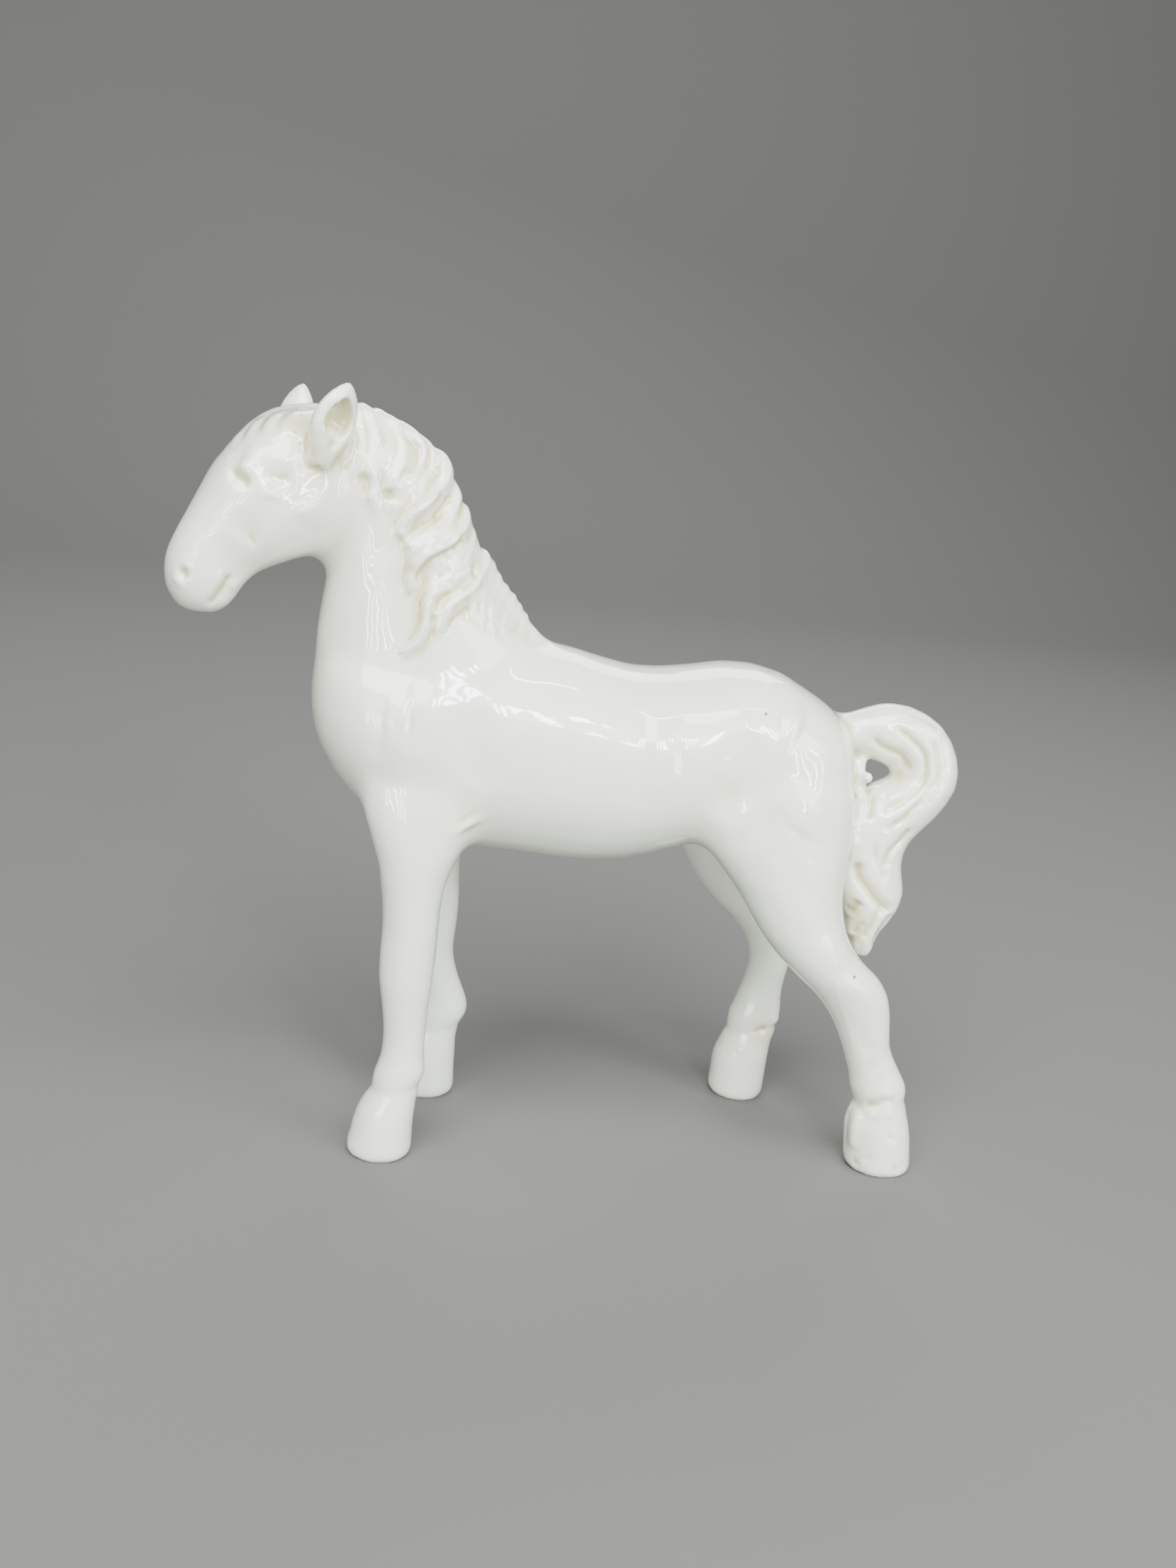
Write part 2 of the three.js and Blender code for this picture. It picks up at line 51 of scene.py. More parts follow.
# A glazed porcelain horse on a pale table top. Places below are in millimetres, meshes are written in metres.
mm = 0.001
fine = 0.2  # mm between the points of the finished skin
flatShare = 0.006  # how readily faces are joined into larger ones where the skin is flat
soleHeight = 0.12  # everything lower than this is brought down to the table
startTime = time.time()


def report(text):
    print("[%5.1f s] %s" % (time.time() - startTime, text), flush=True)


def meshArrays(mesh):
    mesh.calc_loop_triangles()
    points = np.empty(len(mesh.vertices) * 3, np.float32)
    mesh.vertices.foreach_get("co", points)
    triangles = np.empty(len(mesh.loop_triangles) * 3, np.int32)
    mesh.loop_triangles.foreach_get("vertices", triangles)
    return points.reshape(-1, 3) / mm, triangles.reshape(-1, 3)


def readNodes(names):
    return joined(*(meshArrays(nodes[name].data) for name in names))


def toTriangles(faces):
    if faces.shape[1] == 3:
        return faces
    return np.concatenate([faces[:, [0, 1, 2]], faces[:, [0, 2, 3]]])


def joined(*soups):
    points, faces, count = [], [], 0
    for soupPoints, soupFaces in soups:
        points.append(soupPoints)
        faces.append(toTriangles(soupFaces) + count)
        count += len(soupPoints)
    return np.concatenate(points), np.concatenate(faces)


def outward(points, faces):
    corners = points[toTriangles(faces)]
    volume = np.einsum("ij,ij->i", corners[:, 0], np.cross(corners[:, 1], corners[:, 2])).sum()
    return points, faces if volume > 0 else faces[:, ::-1].copy()


def levelSet(points, faces, voxel, outside, inside):
    return openvdb.FloatGrid.createLevelSetFromPolygons(
        np.ascontiguousarray(points, np.float32), np.ascontiguousarray(toTriangles(faces), np.uint32), None,
        openvdb.createLinearTransform(voxel), outside, inside)


def contour(points, faces, voxel, distance, outside, inside):
    # quads at a distance from closed solids that may cross: positive is outwards
    grid = levelSet(points, faces, voxel, outside / voxel + 2.5, inside / voxel + 2.5)
    newPoints, quads = grid.convertToQuads(distance)
    return outward(newPoints.astype(np.float64), quads.astype(np.int64))


def leanSkin(points, faces, voxel, share):
    # the same skin again with larger faces where it is nearly flat
    newPoints, triangles, quads = levelSet(points, faces, voxel, 3, 3).convertToPolygons(0, share)
    newFaces = np.concatenate([triangles.astype(np.int64), toTriangles(quads.astype(np.int64))])
    return outward(newPoints.astype(np.float64), newFaces)


def inBiggest(faces):
    # which faces belong to the largest island
    label = np.arange(faces.max() + 1)
    while True:
        low = label[faces].min(axis=1)
        new = label.copy()
        np.minimum.at(new, faces.ravel(), np.repeat(low, faces.shape[1]))
        new = new[new]
        if np.array_equal(new, label):
            break
        label = new
    names, counts = np.unique(label[faces[:, 0]], return_counts=True)
    return label[faces[:, 0]] == names[counts.argmax()]


def biggestIsland(points, faces):
    # drops inner rooms and crumbs
    keep = faces[inBiggest(faces)]
    used, inverse = np.unique(keep, return_inverse=True)
    return points[used], inverse.reshape(keep.shape)


def filleted(points, faces, voxel, radius):
    # grown and shrunk again: every inner corner gets a round of that radius
    grown = biggestIsland(*contour(points, faces, voxel, radius, radius, voxel))
    return contour(*grown, voxel, -radius, voxel, radius)


def edgesOf(faces):
    pairs = np.concatenate([faces[:, [i, (i + 1) % faces.shape[1]]] for i in range(faces.shape[1])])
    pairs.sort(axis=1)
    codes = np.unique(pairs[:, 0] * (faces.max() + 1) + pairs[:, 1])
    return np.stack(np.divmod(codes, faces.max() + 1), axis=1)


def aroundMean(edges, values):
    count = len(values)
    out = np.empty((count, values.shape[1]))
    for axis in range(values.shape[1]):
        out[:, axis] = np.bincount(edges[:, 0], values[edges[:, 1], axis], count)
        out[:, axis] += np.bincount(edges[:, 1], values[edges[:, 0], axis], count)
    return out / np.maximum(np.bincount(edges.ravel(), minlength=count), 1)[:, None]


def relaxed(points, edges, steps, keep=None):
    # takes facets away and keeps the volume
    share = 1.0 if keep is None else (1 - keep)[:, None]
    points = points.copy()
    for step in range(steps):
        points += 0.5 * share * (aroundMean(edges, points) - points)
        points -= 0.53 * share * (aroundMean(edges, points) - points)
    return points


def spread(values, edges, steps):
    values = values.reshape(len(values), -1).astype(float)
    for step in range(steps):
        values = 0.5 * values + 0.5 * aroundMean(edges, values)
    return values[:, 0] if values.shape[1] == 1 else values


def softened(points, edges, centre, radius, steps):
    # melts the skin within a ball
    share = 1 - smoothStep(np.linalg.norm(points - centre, axis=1), 0.5 * radius, radius)
    inside = np.flatnonzero(share > 0)
    row = np.full(len(points), -1)
    row[inside] = np.arange(len(inside))
    own = row[edges[(row[edges] >= 0).all(axis=1)]]
    part, weight = points[inside], 0.6 * share[inside][:, None]
    for step in range(steps):
        part = part + weight * (aroundMean(own, part) - part)
    points[inside] = part


def crossOf(points, triangles):
    corners = points[triangles]
    return np.cross(corners[:, 1] - corners[:, 0], corners[:, 2] - corners[:, 0])


def normalsOf(points, faces):
    triangles = toTriangles(faces)
    cross = crossOf(points, triangles)
    normals = np.empty((len(points), 3))
    for axis in range(3):
        normals[:, axis] = sum(np.bincount(triangles[:, i], cross[:, axis], len(points)) for i in range(3))
    return normals / np.maximum(np.linalg.norm(normals, axis=1), 1e-12)[:, None]


def treeOf(points, faces):
    return BVHTree.FromPolygons(points.tolist(), faces.tolist())


def smoothStep(value, low, high):
    t = np.clip((value - low) / (high - low), 0, 1)
    return t * t * (3 - 2 * t)


def curvePoints(path, spacing=0.35):
    # a smooth curve through the path, at an even spacing
    path = np.asarray(path, float)
    ghost = np.concatenate([[2 * path[0] - path[1]], path, [2 * path[-1] - path[-2]]])
    out = []
    for i in range(len(path) - 1):
        p0, p1, p2, p3 = ghost[i : i + 4]
        t = np.linspace(0, 1, 12, endpoint=False)[:, None]
        out.append(0.5 * (2 * p1 + (p2 - p0) * t + (2 * p0 - 5 * p1 + 4 * p2 - p3) * t**2
                          + (3 * p1 - p0 - 3 * p2 + p3) * t**3))
    out = np.concatenate(out + [path[-1:]])
    lengths = np.concatenate([[0], np.cumsum(np.linalg.norm(np.diff(out, axis=0), axis=1))])
    steps = max(int(round(lengths[-1] / spacing)), 3)
    along = np.linspace(0, lengths[-1], steps + 1)
    return np.stack([np.interp(along, lengths, out[:, k]) for k in range(3)], axis=1)


def toPath(points, path):
    # distance of each point to a path, and the share along it of the nearest place
    best = np.full(len(points), np.inf)
    along = np.zeros(len(points))
    for i in range(len(path) - 1):
        a, run = path[i], path[i + 1] - path[i]
        t = np.clip((points - a) @ run / max(run @ run, 1e-12), 0, 1)
        distance = np.linalg.norm(points - (a + t[:, None] * run), axis=1)
        closer = distance < best
        best[closer] = distance[closer]
        along[closer] = (i + t[closer]) / (len(path) - 1)
    return best, along


def press(points, normals, path, halfWidth, depth, fade=0.2):
    # the stroke of a modelling tool: cut in where depth is positive, raised where it is negative
    path = curvePoints(path, 0.25)
    reach = 2.4 * halfWidth
    low, high = path.min(axis=0) - reach - 0.8, path.max(axis=0) + reach + 0.8
    near = np.flatnonzero(np.all((points > low) & (points < high), axis=1))
    if not len(near):
        return
    own, ownNormals = points[near], normals[near]
    rows = np.array([((own - place) ** 2).sum(axis=1).argmin() for place in path])
    onSkin, facing = own[rows], ownNormals[rows].mean(axis=0)
    for turn in range(2):
        onSkin[1:-1] = (onSkin[:-2] + 2 * onSkin[1:-1] + onSkin[2:]) / 4
    distance, along = toPath(own, onSkin)
    profile = np.exp(-((distance / halfWidth) ** 2)) * smoothStep(along, -0.02, fade)
    profile *= smoothStep(1 - along, -0.02, fade)
    profile *= smoothStep(ownNormals @ (facing / max(np.linalg.norm(facing), 1e-9)), -0.1, 0.35)
    points[near] -= ownNormals * (depth * profile)[:, None]


def placed(name, data):
    thing = bpy.data.objects.new(name, data)
    bpy.context.scene.collection.objects.link(thing)
    return thing


def strandNodes():
    # a flattened rod along every path: the points carry "up" and "half"
    group = bpy.data.node_groups.new("strandsAlongPaths", "GeometryNodeTree")
    sockets = group.interface
    sockets.new_socket("Paths", in_out="INPUT", socket_type="NodeSocketGeometry")
    for name, kind in (("Sides", "Int"), ("Height share", "Float"), ("Glaze", "Material")):
        sockets.new_socket(name, in_out="INPUT", socket_type="NodeSocket" + kind)
    sockets.new_socket("Strands", in_out="OUTPUT", socket_type="NodeSocketGeometry")
    add = group.nodes.new
    given, made = add("NodeGroupInput"), add("NodeGroupOutput")
    toCurve, turned = add("GeometryNodeMeshToCurve"), add("GeometryNodeSetCurveNormal")
    section, flatten = add("GeometryNodeCurvePrimitiveCircle"), add("GeometryNodeTransform")
    up, half = add("GeometryNodeInputNamedAttribute"), add("GeometryNodeInputNamedAttribute")
    scale, sweep = add("ShaderNodeCombineXYZ"), add("GeometryNodeCurveToMesh")
    real, painted = add("GeometryNodeRealizeInstances"), add("GeometryNodeSetMaterial")
    turned.mode = "FREE"
    up.data_type, half.data_type = "FLOAT_VECTOR", "FLOAT"
    up.inputs["Name"].default_value, half.inputs["Name"].default_value = "up", "half"
    scale.inputs["Y"].default_value = scale.inputs["Z"].default_value = 1
    sweep.inputs["Fill Caps"].default_value = True
    section.inputs["Radius"].default_value = 1
    for first, output, then, socket in (
            (given, "Paths", toCurve, "Mesh"), (toCurve, "Curve", turned, "Curve"),
            (up, "Attribute", turned, "Normal"), (given, "Sides", section, "Resolution"),
            (section, "Curve", flatten, "Geometry"), (given, "Height share", scale, "X"),
            (scale, "Vector", flatten, "Scale"), (turned, "Curve", sweep, "Curve"),
            (flatten, "Geometry", sweep, "Profile Curve"), (half, "Attribute", sweep, "Scale"),
            (sweep, "Mesh", real, "Geometry"), (real, "Geometry", painted, "Geometry"),
            (given, "Glaze", painted, "Material"), (painted, "Geometry", made, "Strands")):
        group.links.new(first.outputs[output], then.inputs[socket])
    return group


def strandsAlong(name, paths, heightShare):
    # paths: lists of (places, up vectors, half widths), all in mm
    places = np.concatenate([p for p, u, h in paths])
    edges, count = [], 0
    for p, u, h in paths:
        edges += [(count + i, count + i + 1) for i in range(len(p) - 1)]
        count += len(p)
    mesh = bpy.data.meshes.new(name)
    mesh.from_pydata((places * mm).tolist(), edges, [])
    for attribute, kind, values in (("up", "FLOAT_VECTOR", np.concatenate([u for p, u, h in paths])),
                                    ("half", "FLOAT", np.concatenate([h for p, u, h in paths]) * mm)):
        data = mesh.attributes.new(attribute, kind, "POINT").data
        data.foreach_set("vector" if kind == "FLOAT_VECTOR" else "value", values.ravel().astype(np.float32))
    rods = placed(name, mesh)
    modifier = rods.modifiers.new("strands", "NODES")
    modifier.node_group = strandGroup
    for item in strandGroup.interface.items_tree:
        if item.in_out == "INPUT" and item.name in ("Sides", "Height share", "Glaze"):
            modifier[item.identifier] = {"Sides": 16, "Height share": heightShare, "Glaze": glaze}[item.name]
    graph = bpy.context.evaluated_depsgraph_get()
    plain = bpy.data.meshes.new_from_object(rods.evaluated_get(graph))
    solid = outward(*meshArrays(plain))
    rods.modifiers.remove(modifier)
    bpy.data.objects.remove(rods)
    bpy.data.meshes.remove(mesh)
    bpy.data.meshes.remove(plain)
    return solid


def pebble(centre, radii, rings=14, sides=20):
    turns = 2 * math.pi * np.arange(sides) / sides
    slopes = math.pi * (np.arange(rings) + 0.5) / rings
    ball = np.stack([np.outer(np.sin(slopes), np.cos(turns)), np.outer(np.sin(slopes), np.sin(turns)),
                     np.outer(np.cos(slopes), np.ones(sides))], axis=2).reshape(-1, 3)
    points = np.concatenate([ball, [(0, 0, 1), (0, 0, -1)]]) * radii + centre
    faces = []
    for k in range(sides):
        n = (k + 1) % sides
        faces += [(rings * sides, k, n), (rings * sides + 1, (rings - 1) * sides + n, (rings - 1) * sides + k)]
        for i in range(rings - 1):
            a, b = i * sides + k, i * sides + n
            faces += [(a, a + sides, b + sides), (a, b + sides, b)]
    return outward(points, np.array(faces))


def freeRod(path, first, last):
    path = curvePoints(path)
    ups = np.tile((0.0, 1.0, 0.0), (len(path), 1))
    return path, ups, np.linspace(first, last, len(path))


def sunkRod(path, halves, sink):
    # a round rod whose back lies below the path by sink
    out = np.cross(np.gradient(path, axis=0), (0, 1, 0))
    out /= np.linalg.norm(out, axis=1)[:, None]
    return path - out * (halves + sink)[:, None], np.tile((0.0, 1.0, 0.0), (len(path), 1)), halves


def newMaterial(name):
    material = bpy.data.materials.new(name)
    material.use_nodes = True
    return material, material.node_tree, material.node_tree.nodes["Principled BSDF"]


porcelain = {
    "white": (0.77, 0.82, 0.69, 1),  # glaze over the white body
    "poolAndShade": (0.60, 0.54, 0.30, 1),  # thick glaze where it has run together, and painted shade in dark hollows and pits
    # dark stains on the mouth and the chipped hoof, and painted shade in the pits by the tail's opening, on the lower
    # tail and under the far fetlock
    "stainAndShade": (0.30, 0.27, 0.22, 1),
    "speck": (0.07, 0.06, 0.05, 1),
    "gloss": 0.05,  # roughness of the glaze
    "waves": 150,  # per metre, slow unevenness of the glaze
    "dimples": 900,
    "specks": 190,
    # places of the larger specks of iron, in mm, and their half width
    "spots": [((-10.4, -7.4, 50.7), 0.16), ((-3.8, -8.7, 45.8), 0.12), ((16.9, -7.8, 48.2), 0.13),
              ((20.9, -6.9, 48.9), 0.11), ((-28.9, -5.6, 68.9), 0.14), ((-29.4, -5.0, 69.8), 0.1),
              ((29.3, -10.9, 22.5), 0.13), ((28.8, -11.0, 23.3), 0.1), ((-16.2, 7.9, 41.0), 0.14),
              ((6.5, 8.8, 39.0), 0.12), ((32.4, -4.9, 43.5), 0.12)],
}


def glazeMaterial(name, finish):
    material, tree, shader = newMaterial(name)
    add, link = tree.nodes.new, tree.links.new
    place = add("ShaderNodeTexCoord").outputs["Object"]

    def painted(attribute):
        node = add("ShaderNodeAttribute")
        node.attribute_name = attribute
        return node.outputs["Fac"]

    def noise(scale, detail):
        node = add("ShaderNodeTexNoise")
        node.inputs["Scale"].default_value, node.inputs["Detail"].default_value = scale, detail
        link(place, node.inputs["Vector"])
        return node.outputs["Fac"]

    def between(value, low, high, first, second):
        node = add("ShaderNodeMapRange")
        for socket, number in (("From Min", low), ("From Max", high), ("To Min", first), ("To Max", second)):
            node.inputs[socket].default_value = number
        link(value, node.inputs["Value"])
        return node.outputs["Result"]

    def mixed(amount, first, second):
        node = add("ShaderNodeMix")
        node.data_type = "RGBA"
        link(amount, node.inputs["Factor"])
        if isinstance(first, tuple):
            node.inputs["A"].default_value = first
        else:
            link(first, node.inputs["A"])
        node.inputs["B"].default_value = second
        return node.outputs["Result"]

    clouds = noise(60, 4)
    colour = mixed(between(clouds, 0.42, 0.75, 0, 0.16), finish["white"], finish["poolAndShade"])
    # thick glaze and painted shade in the hollows and dark pits
    colour = mixed(painted("poolAndShade"), colour, finish["poolAndShade"])
    # stains, and painted shade in the pits around the tail and under the far fetlock
    mottle = add("ShaderNodeMath")
    mottle.operation = "MULTIPLY"
    link(painted("stainAndShade"), mottle.inputs[0])
    link(between(noise(1100, 5), 0.35, 0.7, 0.25, 1), mottle.inputs[1])
    colour = mixed(mottle.outputs["Value"], colour, finish["stainAndShade"])
    dots = add("ShaderNodeTexVoronoi")
    dots.inputs["Scale"].default_value = finish["specks"]
    link(place, dots.inputs["Vector"])
    colour = mixed(between(dots.outputs["Distance"], 0.014, 0.024, 0.85, 0), colour, finish["speck"])
    for spot, half in finish["spots"]:
        away = add("ShaderNodeVectorMath")
        away.operation = "DISTANCE"
        link(place, away.inputs[0])
        away.inputs[1].default_value = Vector(spot) * mm
        dark = between(away.outputs["Value"], half * 0.8 * mm, half * 1.8 * mm, 0.9, 0)
        colour = mixed(dark, colour, finish["speck"])
    link(colour, shader.inputs["Base Color"])
    link(between(painted("stainAndShade"), 0, 1, 0.3, 0.75), shader.inputs["Roughness"])
    shader.inputs["IOR"].default_value = 1.5
    shader.inputs["Coat Weight"].default_value = 1
    shader.inputs["Coat Roughness"].default_value = finish["gloss"]
    shader.inputs["Coat IOR"].default_value = 1.55
    slow, quick = add("ShaderNodeBump"), add("ShaderNodeBump")
    slow.inputs["Strength"].default_value, slow.inputs["Distance"].default_value = 0.35, 0.0004
    quick.inputs["Strength"].default_value, quick.inputs["Distance"].default_value = 0.05, 0.0001
    link(noise(finish["waves"], 1), slow.inputs["Height"])
    link(noise(finish["dimples"], 2), quick.inputs["Height"])
    link(slow.outputs["Normal"], quick.inputs["Normal"])
    link(quick.outputs["Normal"], shader.inputs["Normal"])
    link(quick.outputs["Normal"], shader.inputs["Coat Normal"])
    return material


glaze = glazeMaterial("glaze", porcelain)
pooledGlaze = glazeMaterial("pooled_glaze", porcelain)
strandGroup = strandNodes()

# Barrel, legs, neck and head of the casting, with the joints between them melted together
casting = {
    "legs": ["left_foreleg", "right_foreleg", "left_hind_leg", "right_hind_leg"],
    "bodyFillet": 2.0,
    "headFillet": 1.2,
    "crestFillet": 1.6,
    "kneeSharpness": 0.7,  # 0 to 1, how much of the hooves' and fetlocks' relief is kept
    "crestRadius": 1.25,
    "crestDrop": 0.3,  # of the ridge below the tops of the locks
    # the crest of the mane from behind the ears to the withers: x, z
    "crest": [(-24.3, 72.6), (-23.0, 72.5), (-21.6, 72.2), (-20.3, 71.7), (-19.2, 71.1), (-18.4, 70.5),
              (-17.5, 69.8), (-16.4, 68.8), (-15.5, 67.7), (-14.6, 66.4), (-13.9, 65.2), (-13.2, 63.9),
              (-12.6, 62.6), (-11.9, 61.6), (-11.1, 60.4), (-10.3, 59.4), (-9.4, 58.1), (-8.4, 57.0), (-7.4, 56.1),
              (-6.6, 55.2), (-5.7, 54.2), (-4.8, 53.4), (-3.9, 52.8), (-2.7, 52.2)],
    # tuft that runs from between the ears down the forehead
    "poll": [(-36.2, -1.6, 66.6), (-35.2, -1.0, 68.2), (-34.1, -0.4, 69.5), (-32.9, 0.1, 70.6), (-31.6, 0.5, 71.4),
             (-30.4, 0.7, 71.8), (-29.2, 0.8, 72.1), (-27.9, 0.8, 72.3), (-26.4, 0.6, 72.3), (-25.0, 0.2, 72.4)],
    "pollRadius": 2.3,
    "pollDrop": 0.55,  # at the lower end, where it sinks into the forehead
}
slipOf = {name: name + "_slip" for name in casting["legs"]}
torso = filleted(*readNodes(["body_casting"] + casting["legs"] + list(slipOf.values())), 0.4, casting["bodyFillet"])
torso = (relaxed(torso[0], edgesOf(torso[1]), 14), torso[1])
base = filleted(*joined(torso, readNodes(["head_casting", "neck_slip"])), 0.35, casting["headFillet"])
legsKeep = casting["kneeSharpness"] * smoothStep(14 - base[0][:, 2], 0, 4)
base = (relaxed(base[0], edgesOf(base[1]), 26, legsKeep), base[1])
baseTree = treeOf(*base)
report("casting %d quads" % len(base[1]))

ridge = curvePoints([(x, -0.5, z) for x, z in casting["crest"]])
sink = casting["crestDrop"] * smoothStep(np.linspace(0, 1, len(ridge)), 0, 0.1)
crestRod = sunkRod(ridge, np.full(len(ridge), casting["crestRadius"]), sink)
poll = curvePoints(casting["poll"])
sink = casting["pollDrop"] * (1 - smoothStep(np.linspace(0, 1, len(poll)), 0, 0.3))
pollRod = sunkRod(poll, np.linspace(casting["pollRadius"], casting["pollRadius"] * 0.7, len(poll)), sink)
crest = strandsAlong("crest", [crestRod, pollRod], 1.0)
bedding = filleted(*joined(base, crest), 0.35, casting["crestFillet"])
bedding = (relaxed(bedding[0], edgesOf(bedding[1]), 16), bedding[1])
bedTree = treeOf(*bedding)
report("bed of the mane %d quads" % len(bedding[1]))

tailNodes = ["tail", "tail_slip", "tail_rest_slip"]
tailCore = filleted(*readNodes(tailNodes), 0.25, 0.7)
tailCore = (relaxed(tailCore[0], edgesOf(tailCore[1]), 16), tailCore[1])
tailTree = treeOf(*tailCore)

